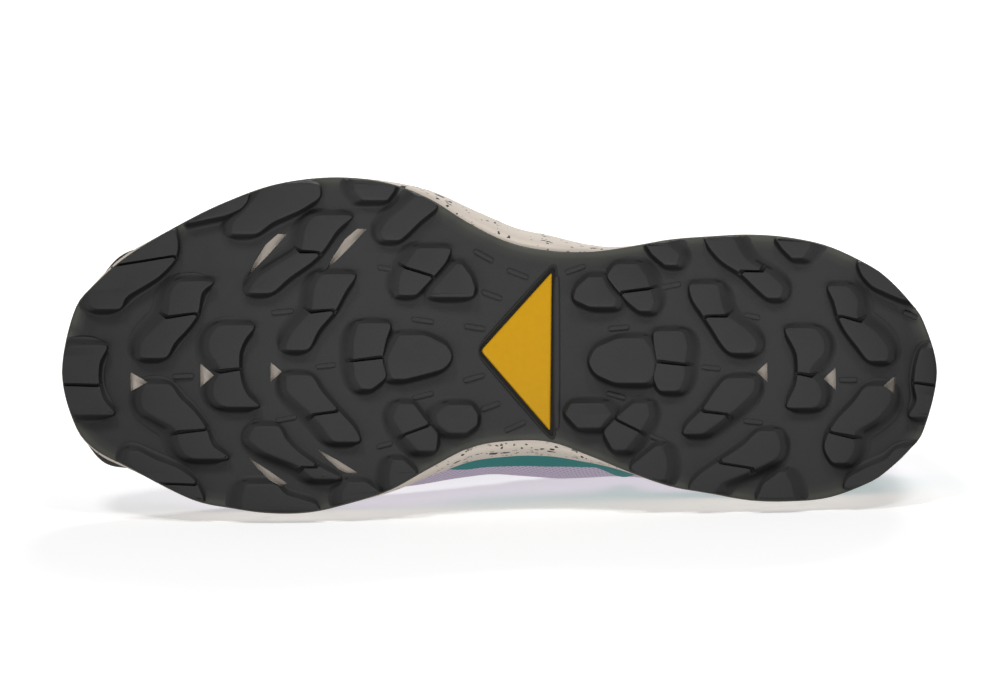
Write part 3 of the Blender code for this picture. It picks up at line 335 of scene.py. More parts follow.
def squared(wave, power):
    """A sine or cosine pushed towards a square wave: sign(w) |w|^power."""
    return np.sign(wave) * np.abs(wave) ** power


def arc_length(line):
    """The run along a polyline at each of its points."""
    return np.concatenate([[0.0], np.cumsum(np.linalg.norm(np.diff(line, axis=0), axis=1))])


def turning(ring):
    """Twice the area inside a flat ring, above 0 where it runs counter-clockwise."""
    after = np.roll(ring, -1, axis=0)
    return np.sum(ring[:, 0] * after[:, 1] - ring[:, 1] * after[:, 0])


def hermite(x, xs, ys):
    """A smooth curve through (xs, ys) that never swings past its neighbours."""
    xs = np.asarray(xs, float)
    ys = np.asarray(ys, float)
    step = np.diff(xs)
    slope = np.diff(ys) / step
    tangent = np.zeros_like(ys)
    same = slope[:-1] * slope[1:] > 0
    both = np.where(same, slope[:-1] + slope[1:], 1.0)
    tangent[1:-1] = np.where(same, 2.0 * slope[:-1] * slope[1:] / both, 0.0)
    tangent[0] = slope[0]
    tangent[-1] = slope[-1]
    x = np.clip(np.asarray(x, float), xs[0], xs[-1])
    i = np.clip(np.searchsorted(xs, x, side="right") - 1, 0, len(step) - 1)
    t = (x - xs[i]) / step[i]
    return ((2 * t**3 - 3 * t**2 + 1) * ys[i] + (t**3 - 2 * t**2 + t) * step[i] * tangent[i]
            + (3 * t**2 - 2 * t**3) * ys[i + 1] + (t**3 - t**2) * step[i] * tangent[i + 1])


def along_to_x(along):
    return (0.5 - np.asarray(along, float)) * sizes().sole_length


def x_to_along(x):
    return 0.5 - np.asarray(x, float) / sizes().sole_length


def width_at(along):
    s = sizes()
    return s.heel_width + (s.ball_width - s.heel_width) * smooth_step(along, 0.25, 0.65)


def tread_height(along):
    """Height of the lug tops: flat from heel to ball, with toe spring and a heel bevel."""
    along = np.asarray(along, float)
    toe = np.clip((along - 0.68) / 0.32, 0.0, 1.0) ** 1.8
    heel = np.clip((0.12 - along) / 0.12, 0.0, 1.0) ** 1.8
    return sizes().toe_spring * toe + sizes().heel_bevel * heel


def arch_height(along):
    return sizes().arch_rise * smooth_step(along, 0.34, 0.46) * (1.0 - smooth_step(along, 0.46, 0.58))


def plate_height(along):
    return tread_height(along) + sizes().lug_height + arch_height(along)


def footbed_height(along):
    """Top of the midsole: the heel stack behind, the forefoot stack in front, thinner to the toe."""
    s = sizes()
    stack = s.heel_stack + (s.forefoot_stack - s.heel_stack) * smooth_step(along, 0.30, 0.70)
    return tread_height(along) + stack - 0.34 * s.forefoot_stack * smooth_step(along, 0.72, 1.02)


class Edge:
    """The closed outline of the tread as a Catmull-Rom curve, read by side and by place along it."""

    def __init__(self):
        rows = np.array(OUTLINE)
        reach = width_at(rows[:, 0])
        x = along_to_x(rows[:, 0])
        lateral = np.column_stack([x, -rows[:, 1] * reach])
        medial = np.column_stack([x, rows[:, 2] * reach])
        ring = np.vstack([lateral, medial[-2:0:-1]])
        before, start, end, after = (np.roll(ring, -k, axis=0)[:, None, :] for k in (-1, 0, 1, 2))
        t = (np.arange(10) / 10.0)[None, :, None]
        dense = 0.5 * (2 * start + (end - before) * t + (2 * before - 5 * start + 4 * end - after) * t**2
                       + (3 * start - before - 3 * end + after) * t**3)
        self.points = dense.reshape(-1, 2)
        self.points = np.vstack([self.points, self.points[:1]])
        chord = np.linalg.norm(np.diff(self.points, axis=0), axis=1)
        self.place = np.concatenate([[0.0], np.cumsum(chord)]) / chord.sum()
        self.run = chord.sum()
        self.heel_index = 10 * (len(OUTLINE) - 1)
        self.heel_place = self.place[self.heel_index]
        self.places_of_ribs()

    def at(self, place):
        place = np.mod(place, 1.0)
        return np.column_stack([np.interp(place, self.place, self.points[:, k]) for k in (0, 1)])

    def normal(self, place):
        """Outward direction in the plane of the tread."""
        step = 0.004
        run = self.at(np.asarray(place) + step) - self.at(np.asarray(place) - step)
        return unit(np.column_stack([run[:, 1], -run[:, 0]]))

    def place_of(self, along, side):
        """Where the outline passes a share of the length, on the lateral (-1) or medial (1) side."""
        if side < 0:
            part = slice(0, self.heel_index + 1)
        else:
            part = slice(self.heel_index, None)
        xs = self.points[part, 0]
        order = np.argsort(xs)
        return np.interp(along_to_x(along), xs[order], self.place[part][order])

    def places_of_ribs(self):
        lateral = [0.0] + [float(self.place_of(row[1], -1)) for row in RIBS[1:-1]]
        medial = [float(self.place_of(row[1], 1)) for row in RIBS[1:-1]]
        self.rib_places = lateral + [self.heel_place] + medial[::-1] + [1.0]

    def around(self, lateral, medial, place):
        """Carries one column of the ribs smoothly round the outline."""
        places = self.rib_places
        values = list(lateral) + list(medial[::-1][1:])
        xs = [p - 1.0 for p in places[-4:-1]] + places + [p + 1.0 for p in places[1:4]]
        ys = values[-4:-1] + values + values[1:4]
        return hermite(np.mod(place, 1.0), xs, ys)


def rib_column(index, place, medial_index=None, odd=False):
    lateral = [row[index] for row in RIBS]
    medial = [row[medial_index or index] for row in RIBS]
    if odd:
        lateral = [-v for v in lateral]
    return EDGE.around(lateral, medial, place)


def step_shares(place):
    guard = [STEPS[row[0]][0] for row in RIBS]
    band = [STEPS[row[0]][1] for row in RIBS]
    return EDGE.around(guard, guard, place), EDGE.around(band, band, place)


def toe_places(along, count):
    """Even places round the toe, from the medial to the lateral side."""
    return np.linspace(EDGE.place_of(along, 1) - 1.0, EDGE.place_of(along, -1), count)


def heel_places(along, count):
    """Even places round the heel, from the lateral to the medial side."""
    return np.linspace(EDGE.place_of(along, -1), EDGE.place_of(along, 1), count)


def side_places(side, front, rear, count):
    """Even places along one side of the shoe."""
    start, end = sorted(float(EDGE.place_of(along, side)) for along in (front, rear))
    return np.linspace(start, end, count)


def toe_guard_top(places):
    """Top of the toe guard as a share of the rib, falling towards both of its ends."""
    guard, _ = step_shares(places)
    near = np.abs(places) / np.abs(places).max()
    return guard * (1.0 - 0.55 * smooth_step(near, 0.6, 1.0))


def flare_at(along, side):
    """How far the midsole stands out past the tread's edge: most at the waist."""
    waist = smooth_step(along, 0.34, 0.46) * (1.0 - smooth_step(along, 0.50, 0.66))
    return sizes().flare * waist * np.where(side < 0, 0.95, 1.15)


def toe_corner(along, side):
    """1 at the two corners of the toe, where the guard shows past the tread, falling to 0 away from them:
    a bell curve of the place along, centred a little nearer the tip on the medial side."""
    middle = np.where(side < 0, 0.930, 0.945)
    return np.exp(-((along - middle) / 0.024) ** 2)


def foot_ring(place):
    """The line where the upper meets the footbed, inside the midsole's rim."""
    s = sizes()
    edge = EDGE.at(place)
    flare = flare_at(x_to_along(edge[:, 0]), np.sign(edge[:, 1]))
    inset = s.rim_width + s.gap + s.overlay + s.side_step - flare
    ring = edge - EDGE.normal(place) * inset[:, None]
    return np.column_stack([ring, footbed_height(x_to_along(ring[:, 0])) + s.gap])


def upper_surface(place, share):
    """A point of the upper: a cubic rib from the footbed's edge to the topline, bent by its handles."""
    place = np.asarray(place, float)
    share = np.asarray(share, float)[:, None]
    s = sizes()
    last = 0.001 * s.sole_length / 0.285
    foot = foot_ring(place)
    out = EDGE.normal(place)
    heights = {"instep": s.instep_height, "ankle": s.ankle_height, "heel": s.heel_height}
    top_height = [row[4] * heights[row[5]] for row in RIBS]
    across = rib_column(3, place, odd=True) * s.throat_width
    top = np.column_stack([along_to_x(rib_column(2, place)), across,
                           EDGE.around(top_height, top_height, place)])
    low = foot + last * np.column_stack([out * rib_column(7, place, 8)[:, None], rib_column(6, place)])
    high = top + last * np.column_stack([-rib_column(9, place), rib_column(10, place, 11, odd=True),
                                         -rib_column(12, place)])
    rest = 1.0 - share
    return rest**3 * foot + 3 * rest**2 * share * low + 3 * rest * share**2 * high + share**3 * top


def upper_normal(place, share):
    """Outward direction of the upper's surface, from its two neighbours each way."""
    step = 0.002
    low = np.clip(share - 0.01, 0.0, 1.0)
    high = np.clip(share + 0.01, 0.0, 1.0)
    run = upper_surface(place + step, share) - upper_surface(place - step, share)
    climb = upper_surface(place, high) - upper_surface(place, low)
    return unit(np.cross(run, climb))


def laid_turn():
    """Turn and shift that lay the shoe down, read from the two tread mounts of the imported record."""
    mounts = {m["name"]: m for m in frame["record"]["mounts"]}
    heel = np.array(mounts["heel_tread"]["pos_m"])
    fore = np.array(mounts["forefoot_tread"]["pos_m"])
    up = unit(-np.array(mounts["heel_tread"]["axis"]))
    s = sizes()
    heel_place = np.array([along_to_x(0.305), -0.04 * s.heel_width, 0.0])
    fore_place = np.array([along_to_x(0.648), -0.05 * s.ball_width, 0.0])
    own = heel_place - fore_place
    turn = math.atan2(own[1], own[0])
    run = heel - fore
    run = unit(run - up * run.dot(up))
    side = np.cross(up, run)
    x_axis = run * math.cos(turn) - side * math.sin(turn)
    y_axis = np.cross(up, x_axis)
    turned = np.column_stack([x_axis, y_axis, up])
    return turned, heel - turned @ heel_place


def lay(points):
    """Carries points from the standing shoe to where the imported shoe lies."""
    return np.asarray(points) @ LAID[0].T + LAID[1]


def stand(points):
    """Carries laid-down points back to the standing shoe."""
    return (np.asarray(points) - LAID[1]) @ LAID[0]


def outward(points, faces):
    """Turns a closed shell's faces outward, by the sign of the volume that its triangle fans enclose."""
    a, b, c, d = (points[faces[:, k]] for k in range(4))
    volume = np.sum(a * np.cross(b, c)) + np.sum(a * np.cross(c, d))
    return faces if volume > 0 else faces[:, ::-1]


def fill_mesh(mesh, points, faces):
    """Writes points and four-cornered faces into a mesh as whole arrays; a face that repeats a corner is
    written as a triangle."""
    keep = faces != np.roll(faces, 1, axis=1)
    totals = keep.sum(axis=1)
    loops = faces[keep]
    mesh.vertices.add(len(points))
    mesh.vertices.foreach_set("co", np.ascontiguousarray(points, dtype=np.float32).ravel())
    mesh.loops.add(len(loops))
    mesh.loops.foreach_set("vertex_index", loops.astype(np.int32))
    mesh.polygons.add(len(faces))
    mesh.polygons.foreach_set("loop_start", (np.cumsum(totals) - totals).astype(np.int32))
    mesh.polygons.foreach_set("loop_total", totals.astype(np.int32))
    mesh.update(calc_edges=True)
    mesh.validate()


def read_points(mesh, name="co"):
    """The points of a mesh, or their normals, as they lie."""
    values = np.zeros(len(mesh.vertices) * 3)
    mesh.vertices.foreach_get(name, values)
    return values.reshape(-1, 3)


def write_values(mesh, name, values):
    """Writes a number on each point, which a material reads by its name."""
    layer = mesh.attributes.new(name, "FLOAT", "POINT")
    layer.data.foreach_set("value", values.astype(np.float32))


def add_object(name, data):
    obj = bpy.data.objects.new(name, data)
    bpy.context.scene.collection.objects.link(obj)
    return obj


def place_piece(name, mesh, material, replaces=(), angle=40.0):
    """Puts a finished mesh in the scene: smooth up to an angle, with its material and body."""
    mesh.shade_smooth()
    mesh.set_sharp_from_angle(angle=math.radians(angle))
    mesh.materials.clear()
    mesh.materials.append(material)
    obj = add_object(name, mesh)
    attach(obj, "root")
    if replaces:
        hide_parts(*replaces)
    return obj


def mesh_piece(name, points, faces, material, slot, replaces=(), uv=None, run=0.0):
    """A finished piece from whole arrays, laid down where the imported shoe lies. run is the UV's length round
    a closed piece of four-cornered faces: the last column's faces run on instead of back to its start."""
    mesh = bpy.data.meshes.new(name)
    fill_mesh(mesh, lay(points), outward(points, np.asarray(faces)))
    if uv is not None:
        layer = mesh.uv_layers.new(name="UVMap")
        index = np.zeros(len(mesh.loops), np.int32)
        mesh.loops.foreach_get("vertex_index", index)
        corners = np.asarray(uv)[index]
        if run:
            around = corners[:, 0].reshape(-1, 4)
            around += run * (around < around.max(axis=1, keepdims=True) - 0.5 * run)
        layer.data.foreach_set("uv", corners.astype(np.float32).ravel())
    return place_piece(name, mesh, material, replaces)


def grid_faces(rows, columns, wrap_columns=False, wrap_rows=False):
    """Quads of a grid of points stored row by row."""
    last_row = rows if wrap_rows else rows - 1
    last_column = columns if wrap_columns else columns - 1
    i, j = np.meshgrid(np.arange(last_row), np.arange(last_column), indexing="ij")
    i = i.ravel()
    j = j.ravel()
    up = (i + 1) % rows
    across = (j + 1) % columns
    return np.column_stack([i * columns + j, i * columns + across, up * columns + across, up * columns + j])


def ladder_faces(base, count):
    """Fills a ring across, from each point to its mate on the other side; triangles repeat a corner."""
    half = count // 2
    i = np.arange(1, half - 1)
    quads = np.column_stack([base + i, base + i + 1, base + count - i - 1, base + count - i])
    ends = np.array([[base, base + 1, base + count - 1, base + count - 1],
                     [base + half - 1, base + half, base + half + 1, base + half + 1]])
    return np.vstack([quads, ends])


def ring_faces(levels, count, low_cap=True, high_cap=True):
    """Faces of a loft through rings, closed by a ladder at either end."""
    faces = [grid_faces(levels, count, wrap_columns=True)]
    if low_cap:
        faces.append(ladder_faces(0, count)[:, ::-1])
    if high_cap:
        faces.append(ladder_faces((levels - 1) * count, count))
    return np.vstack(faces)


def loft(rings):
    """Points and faces of a closed loft through a list of rings."""
    return np.vstack(rings), ring_faces(len(rings), len(rings[0]))


def even_places(count):
    """Even places down the lateral side to the heel and back up the medial side."""
    half = count // 2
    down = EDGE.heel_place * np.arange(half) / half
    back = EDGE.heel_place + (1.0 - EDGE.heel_place) * np.arange(half) / half
    return np.concatenate([down, back])


def edge_ring(places, outset, height_rule, lift=0.0):
    """A ring at a distance out from the tread's edge, at a height that depends on the place along."""
    points = EDGE.at(places)
    along = x_to_along(points[:, 0])
    side = np.sign(points[:, 1])
    distance = outset(along, side) if callable(outset) else np.full(len(places), outset)
    points = points + EDGE.normal(places) * distance[:, None]
    return np.column_stack([points, height_rule(along) + lift])


def add_node(tree, kind, inputs=None, **settings):
    """Adds a node, sets its settings, and sets or links its inputs."""
    node = tree.nodes.new(kind)
    for name, value in settings.items():
        setattr(node, name, value)
    for name, value in (inputs or {}).items():
        if isinstance(value, bpy.types.NodeSocket):
            tree.links.new(value, node.inputs[name])
        else:
            node.inputs[name].default_value = value
    return node


def new_material(name, colour, roughness, ior=1.5, **sockets):
    """A Principled material with its uniform values on the shader's own sockets."""
    material = bpy.data.materials.new(name)
    material.use_nodes = True
    tree = material.node_tree
    shader = tree.nodes["Principled BSDF"]
    shader.inputs["Base Color"].default_value = (*colour, 1.0)
    shader.inputs["Roughness"].default_value = roughness
    shader.inputs["IOR"].default_value = ior
    for socket, value in sockets.items():
        shader.inputs[socket.replace("_", " ")].default_value = value
    place = add_node(tree, "ShaderNodeTexCoord")
    return material, tree, shader, place


def surface(tree, shader, tone, height, distance, strength):
    """Gives the shader its colour, where it has a pattern, and a bump of a real depth."""
    if tone is not None:
        tree.links.new(tone, shader.inputs["Base Color"])
    node = add_node(tree, "ShaderNodeBump", {"Height": height, "Distance": distance, "Strength": strength})
    tree.links.new(node.outputs["Normal"], shader.inputs["Normal"])


def mix_colour(tree, factor, first, second):
    node = add_node(tree, "ShaderNodeMix", data_type="RGBA")
    for index, value in ((0, factor), (6, first), (7, second)):
        if isinstance(value, bpy.types.NodeSocket):
            tree.links.new(value, node.inputs[index])
        elif index == 0:
            node.inputs[index].default_value = value
        else:
            node.inputs[index].default_value = (*value, 1.0)
    return node.outputs[2]


def ramp(tree, value, low, high, start=0.0, end=1.0):
    """Maps low to high onto start to end, held at both."""
    node = add_node(tree, "ShaderNodeMapRange", {"Value": value, "From Min": low, "From Max": high,
                                                 "To Min": start, "To Max": end})
    return node.outputs["Result"]


def calculate(tree, operation, *values):
    """The result of a sum on one or two values."""
    return add_node(tree, "ShaderNodeMath", dict(enumerate(values)), operation=operation).outputs["Value"]


def noise(tree, place, scale, detail, roughness=0.5):
    """Cloudy noise over the piece in metres: a scale of 1000 gives clouds about 1 mm across."""
    return add_node(tree, "ShaderNodeTexNoise", {"Vector": place.outputs["Object"], "Scale": scale,
                                                 "Detail": detail, "Roughness": roughness})


def written(tree, name):
    """The number that was written on the mesh's points under a name."""
    return add_node(tree, "ShaderNodeAttribute", attribute_name=name).outputs["Fac"]


def crossed_waves(tree, place, operation, pitch):
    """The product of one wave along and one across the piece's UV, both of the pitch in metres."""
    split = add_node(tree, "ShaderNodeSeparateXYZ", {"Vector": place.outputs["UV"]})
    scaled = [calculate(tree, "MULTIPLY", split.outputs[axis], 2.0 * math.pi / pitch) for axis in ("X", "Y")]
    return calculate(tree, "MULTIPLY", *[calculate(tree, operation, value) for value in scaled])


def shade(colour, factor):
    return [min(1.0, c * factor) for c in colour]


def carbon_rubber(name="moulded_carbon_rubber", depth=1.0):
    """Moulded carbon rubber: a dull dark face with a fine spark-eroded grain about 0.5 mm across, a faint
    large mottle from the mould release, a paler outer edge that is a painted highlight of light on the
    bevel, and painted shade on the lugs' walls that face down and the steep way. depth is painted shade as
    well: it darkens the whole rubber of a piece that lies in the groove round the inset."""
    c = colours()
    material, tree, shader, place = new_material(name, shade(c.rubber, depth), 0.66, 1.52,
                                                 Specular_IOR_Level=0.3)
    grain = noise(tree, place, 1900.0, 3.0, 0.6).outputs["Fac"]
    mottle = noise(tree, place, 70.0, 4.0, 0.6).outputs["Fac"]
    tone = mix_colour(tree, ramp(tree, mottle, 0.35, 0.65), shade(c.rubber, 0.90 * depth),
                      shade(c.rubber, 1.10 * depth))
    # Painted highlight on the plate's bevelled outer edge.
    tone = mix_colour(tree, written(tree, "rim"), tone, c.rubber_edge_highlight)
    # Painted shade: the lugs' walls that face down and the steep way, and the sipes, go to a quarter of the
    # rubber's tone.
    tone = mix_colour(tree, written(tree, "wall"), tone, shade(c.rubber, 0.25 * depth))
    tree.links.new(ramp(tree, mottle, 0.3, 0.7, 0.58, 0.74), shader.inputs["Roughness"])
    surface(tree, shader, tone, grain, 0.00012, 0.7)
    return material


def foam():
    """Moulded EVA foam: a matt skin, warm beige, with dark ground flecks in two sizes, about 0.4 and
    1.2 mm, that were pressed in at random and run a little along the shoe."""
    c = colours()
    material, tree, shader, place = new_material("moulded_foam", c.foam, 0.72, 1.48)
    wander = noise(tree, place, 700.0, 3.0)
    pull = add_node(tree, "ShaderNodeVectorMath", {0: wander.outputs["Color"], 1: (1.3, 1.3, 1.3)},
                    operation="MULTIPLY")
    masks = []
    for pitch, share in (((260.0, 430.0, 430.0), 0.62), ((620.0, 900.0, 900.0), 0.70)):
        spread = add_node(tree, "ShaderNodeMapping", {"Vector": place.outputs["Object"], "Scale": pitch})
        bent = add_node(tree, "ShaderNodeVectorMath", {0: spread.outputs["Vector"],
                                                       1: pull.outputs["Vector"]}, operation="ADD")
        cells = add_node(tree, "ShaderNodeTexVoronoi", {"Vector": bent.outputs["Vector"], "Scale": 1.0,
                                                        "Randomness": 1.0})
        chosen = add_node(tree, "ShaderNodeSeparateColor", {"Color": cells.outputs["Color"]})
        size = ramp(tree, chosen.outputs["Red"], share, 1.0, 0.0, 0.50)
        masks.append(ramp(tree, calculate(tree, "SUBTRACT", size, cells.outputs["Distance"]), 0.0, 0.06))
    fleck = calculate(tree, "MULTIPLY", calculate(tree, "MAXIMUM", *masks), written(tree, "side"))
    pores = noise(tree, place, 1500.0, 2.0).outputs["Fac"]
    surface(tree, shader, mix_colour(tree, fleck, c.foam, c.fleck), pores, 0.0001, 0.35)
    return material


def inset_plastic():
    """Injection-moulded TPU: a satin yellow with a faint orange peel about 2 mm across."""
    c = colours()
    material, tree, shader, place = new_material("moulded_tpu_yellow", c.inset, 0.5, 1.5,
                                                 Specular_IOR_Level=0.2)
    peel = noise(tree, place, 500.0, 2.0).outputs["Fac"]
    tone = mix_colour(tree, ramp(tree, peel, 0.3, 0.7), shade(c.inset, 0.96), c.inset)
    surface(tree, shader, tone, peel, 0.00006, 0.6)
    return material


def knit(name, colour, pitch=KNIT_PITCH, holes=0.35):
    """Engineered mesh, warp knitted in polyester: rows of small round holes at the pitch, in a brick
    pattern on the piece's own UV in metres, with a soft sheen from the yarn."""
    material, tree, shader, place = new_material(name, colour, 0.85, 1.46, Sheen_Weight=0.25)
    hole = ramp(tree, crossed_waves(tree, place, "COSINE", pitch), holes, 0.95)
    tone = mix_colour(tree, hole, colour, shade(colour, 0.42))
    surface(tree, shader, tone, calculate(tree, "SUBTRACT", 1.0, hole), 0.0004, 0.8)
    return material


def film(name, colour, roughness=0.55):
    """A thin film of TPU welded to the knit: smooth and satin, with the yarn just showing through."""
    material, tree, shader, place = new_material(name, colour, roughness, 1.5,
                                                 Specular_IOR_Level=0.3)
    ghost = add_node(tree, "ShaderNodeTexVoronoi", {"Vector": place.outputs["Object"], "Scale": 900.0})
    surface(tree, shader, None, ghost.outputs["Distance"], 0.0001, 0.4)
    return material


def cloth(name, colour, thread=0.0006):
    """A plain brushed textile: crossed threads at the given spacing on the piece's UV, and a nap."""
    material, tree, shader, place = new_material(name, colour, 0.92, 1.46, Sheen_Weight=0.35,
                                                 Sheen_Roughness=0.5)
    nap = noise(tree, place, 300.0, 4.0).outputs["Fac"]
    tone = mix_colour(tree, ramp(tree, nap, 0.3, 0.7), shade(colour, 0.85), shade(colour, 1.15))
    surface(tree, shader, tone, crossed_waves(tree, place, "SINE", thread), 0.00015, 0.7)
    return material


def from_photo(x, y, width, photo_width):
    """A place on the tread from a place on the photo: along from its x, across from its y as a share of
    the ball's or the heel's width there."""
    along = (PHOTO_HEEL_X - np.asarray(x, float)) / (PHOTO_HEEL_X - PHOTO_TOE_X)
    across = (np.asarray(y, float) - PHOTO_MIDLINE_Y) * width / photo_width
    return np.column_stack([along_to_x(along), across])


def resample(line, count):
    """Even points along a polyline."""
    chord = arc_length(line)
    place = np.linspace(0.0, chord[-1], count)
    return np.column_stack([np.interp(place, chord, line[:, k]) for k in range(line.shape[1])])


def eased(ring, passes):
    """Rounds a closed ring by averaging neighbours."""
    for _ in range(passes):
        ring = 0.25 * np.roll(ring, 1, axis=0) + 0.5 * ring + 0.25 * np.roll(ring, -1, axis=0)
    return ring


def kept_inside(points, margin):
    """Draws points back along the outline's own direction where a lug's wall would stand out past it."""
    edge = EDGE.points[:-1]
    near = np.linalg.norm(points[:, None] - edge[None], axis=2).argmin(axis=1)
    out = EDGE.normal(EDGE.place[near])
    past = np.sum((points - edge[near]) * out, axis=1) + margin
    return points - out * np.maximum(past, 0.0)[:, None]


# A lug's wall from its top to its foot: distance out as a share of the draft, depth as a share of height
LUG_PROFILE = (
    (-0.42, 0.000), (-0.15, 0.000), (-0.05, 0.012), (0.00, 0.045), (0.05, 0.120), (0.24, 0.330),
    (0.46, 0.560), (0.70, 0.780), (0.92, 0.930), (1.14, 0.985), (1.34, 1.030),
)


def with_sipe(line, off, head, tail):
    """Places one side of a lug anew so that four of its points mark the sipe: an upper and a lower point
    on each of its two walls. off is how far each point of the side lies past the sipe's middle."""
    width = sizes().sipe
    lip = 0.06 * width
    marks = np.array([-0.5 * width - lip, -0.5 * width, 0.5 * width, 0.5 * width + lip])
    index = np.arange(len(line))
    at = np.interp(marks, np.maximum.accumulate(off) + 1e-8 * index, index)
    place = np.concatenate([np.linspace(0.0, at[0], head + 1)[:-1], at,
                            np.linspace(at[3], index[-1], tail + 1)[1:]])
    return np.column_stack([np.interp(place, index, line[:, k]) for k in (0, 1)])


def lug_outline(sipe, stations, width, photo_width):
    """The closed outline of a lug's top. Its front and rear sides are joined by short straight ends and
    eased at the corners; point i of one side faces point count - i of the other, so that the top can be
    filled across. Also says which points lie in the sipe."""
    rows = np.array(stations, float)
    sides = [resample(from_photo(rows[:, k], rows[:, 0], width, photo_width), 25) for k in (1, 2)]
    share = np.linspace(0.5, 1.0, 5)[:-1, None]
    halves = []
    for own, other in (sides, sides[::-1]):
        start = other[0] + (own[0] - other[0]) * share
        stop = other[-1] + (own[-1] - other[-1]) * share[::-1]
        halves.append(np.vstack([start, own, stop]))
    ring = eased(np.vstack([halves[0], halves[1][-2:0:-1]]), 2)
    half = len(ring) // 2
    inside = np.zeros(len(ring), bool)
    if sipe:
        heights = rows[:, 0]
        middle = 0.5 * (np.interp(sipe[0], heights, rows[:, 1]) + np.interp(sipe[0], heights, rows[:, 2]))
        centre = from_photo([middle], [sipe[0]], width, photo_width)[0]
        lines = (ring[:half + 1], np.vstack([ring[:1], ring[:half - 1:-1]]))
        offs = [line[:, 1] - centre[1] - sipe[1] * (line[:, 0] - centre[0]) for line in lines]
        head = int(round(np.mean([np.argmin(np.abs(off)) for off in offs])))
        one, two = (with_sipe(line, off, head, half - head) for line, off in zip(lines, offs))
        ring = np.vstack([one, two[-2:0:-1]])
        inside = np.zeros(len(ring), bool)
        inside[[head + 1, head + 2, -head - 1, -head - 2]] = True
    return ring, inside


def lug_mesh(sipe, stations, width, photo_width, steep):
    """A lug: its outline is carried out and down by the profile of the wall, and the points that lie in
    the sipe drop to its floor. The wall is steep on the side that grips (steep is 1 where that is the heel
    side, -1 where it is the toe side) and a soft ramp on the other."""
    s = sizes()
    ring, inside = lug_outline(sipe, stations, width, photo_width)
    run = eased(unit(np.roll(ring, -1, axis=0) - np.roll(ring, 1, axis=0)), 1)
    out = unit(np.column_stack([run[:, 1], -run[:, 0]]) * np.sign(turning(ring)))
    facing = out[:, 0] * steep
    draft = s.lug_draft * np.where(facing > 0, 1.0 - 0.48 * facing, 1.0 - 0.75 * facing)
    ramp_share = np.clip(0.4 - 0.8 * facing, 0.0, 1.0)
    last = LUG_PROFILE[-1]
    levels = []
    for distance, depth in LUG_PROFILE:
        flat = ring + out * (distance * np.where(distance > 0, draft, s.lug_draft))[:, None]
        if distance > 0.5:
            flat = eased(flat, int(round(9 * distance)))
        flat = kept_inside(flat, EDGE_MARGIN)
        along = x_to_along(flat[:, 0])
        soft = last[1] * smooth_step(distance, LUG_PROFILE[0][0], last[0])
        drop = depth + (soft - depth) * ramp_share
        drop = np.where(inside, np.maximum(drop, s.sipe_depth / s.lug_height), drop)
        height = tread_height(along) + drop * (s.lug_height + arch_height(along))
        levels.append(np.column_stack([flat, height]))
    return loft(levels)


def joined(parts):
    """Joins (points, faces) pairs into one pair."""
    points = []
    faces = []
    base = 0
    for part_points, part_faces in parts:
        points.append(part_points)
        faces.append(np.asarray(part_faces) + base)
        base += len(part_points)
    return np.vstack(points), np.vstack(faces)


def tread_point(along, across):
    """A flat point of the tread. across is a share of the ball's width, above 0 on the lateral side."""
    return np.array([float(along_to_x(along)), -across * sizes().ball_width])


def window_outlines():
    """Outlines of the small triangles and the slim leaves that are cut through the plate."""
    s = sizes()
    outlines = []
    for along, across, length, half, way in WINDOWS:
        x, y = tread_point(along, across)
        reach = way * 0.5 * length * s.sole_length
        outlines.append(np.array([(x - reach, y), (x + reach, y - half * s.ball_width),
                                  (x + reach, y + half * s.ball_width)]))
    for along_a, across_a, along_b, across_b, belly in LEAVES:
        start = tread_point(along_a, across_a)
        run = tread_point(along_b, across_b) - start
        side = np.array([run[1], -run[0]]) * np.sign(belly)
        shares = ((0.0, 0.0), (0.50, -0.01), (1.0, 0.0), (0.90, 0.12), (0.62, 0.145), (0.28, 0.08))
        outlines.append(np.array([start + run * t + side * d for t, d in shares]))
    return outlines


def corner_ways(corners):
    """Directions from each corner to the one before it and to the one after it."""
    return unit(np.roll(corners, 1, axis=0) - corners), unit(np.roll(corners, -1, axis=0) - corners)


def rounded(corners, radius, steps=8):
    """Rounds the corners of a flat outline with short arcs."""
    before, after = corner_ways(corners)
    start = corners + before * radius
    end = corners + after * radius
    t = np.linspace(0.0, 1.0, steps)[None, :, None]
    arcs = (1 - t) ** 2 * start[:, None] + 2 * t * (1 - t) * corners[:, None] + t**2 * end[:, None]
    return arcs.reshape(-1, 2)


def inset_outline(shrink):
    """The triangle at the waist, drawn in from its opening by a margin, with small round corners."""
    corners = np.array([tread_point(*corner) for corner in INSET_CORNERS])
    before, after = corner_ways(corners)
    half_angle = 0.5 * np.arccos(np.sum(before * after, axis=1))
    inward = unit(before + after) * (shrink / np.sin(half_angle))[:, None]
    corner_radius = 0.0012 + max(0.0, -3.0 * shrink)
    return rounded(corners + inward, corner_radius)


def plate_rings(table):
    """Rings round the triangle at the waist, from rows of a margin inwards and a depth below the plate's
    face."""
    rings = []
    for shrink, depth in table:
        flat = inset_outline(shrink)
        rings.append(np.column_stack([flat, plate_height(x_to_along(flat[:, 0])) + depth]))
    return rings


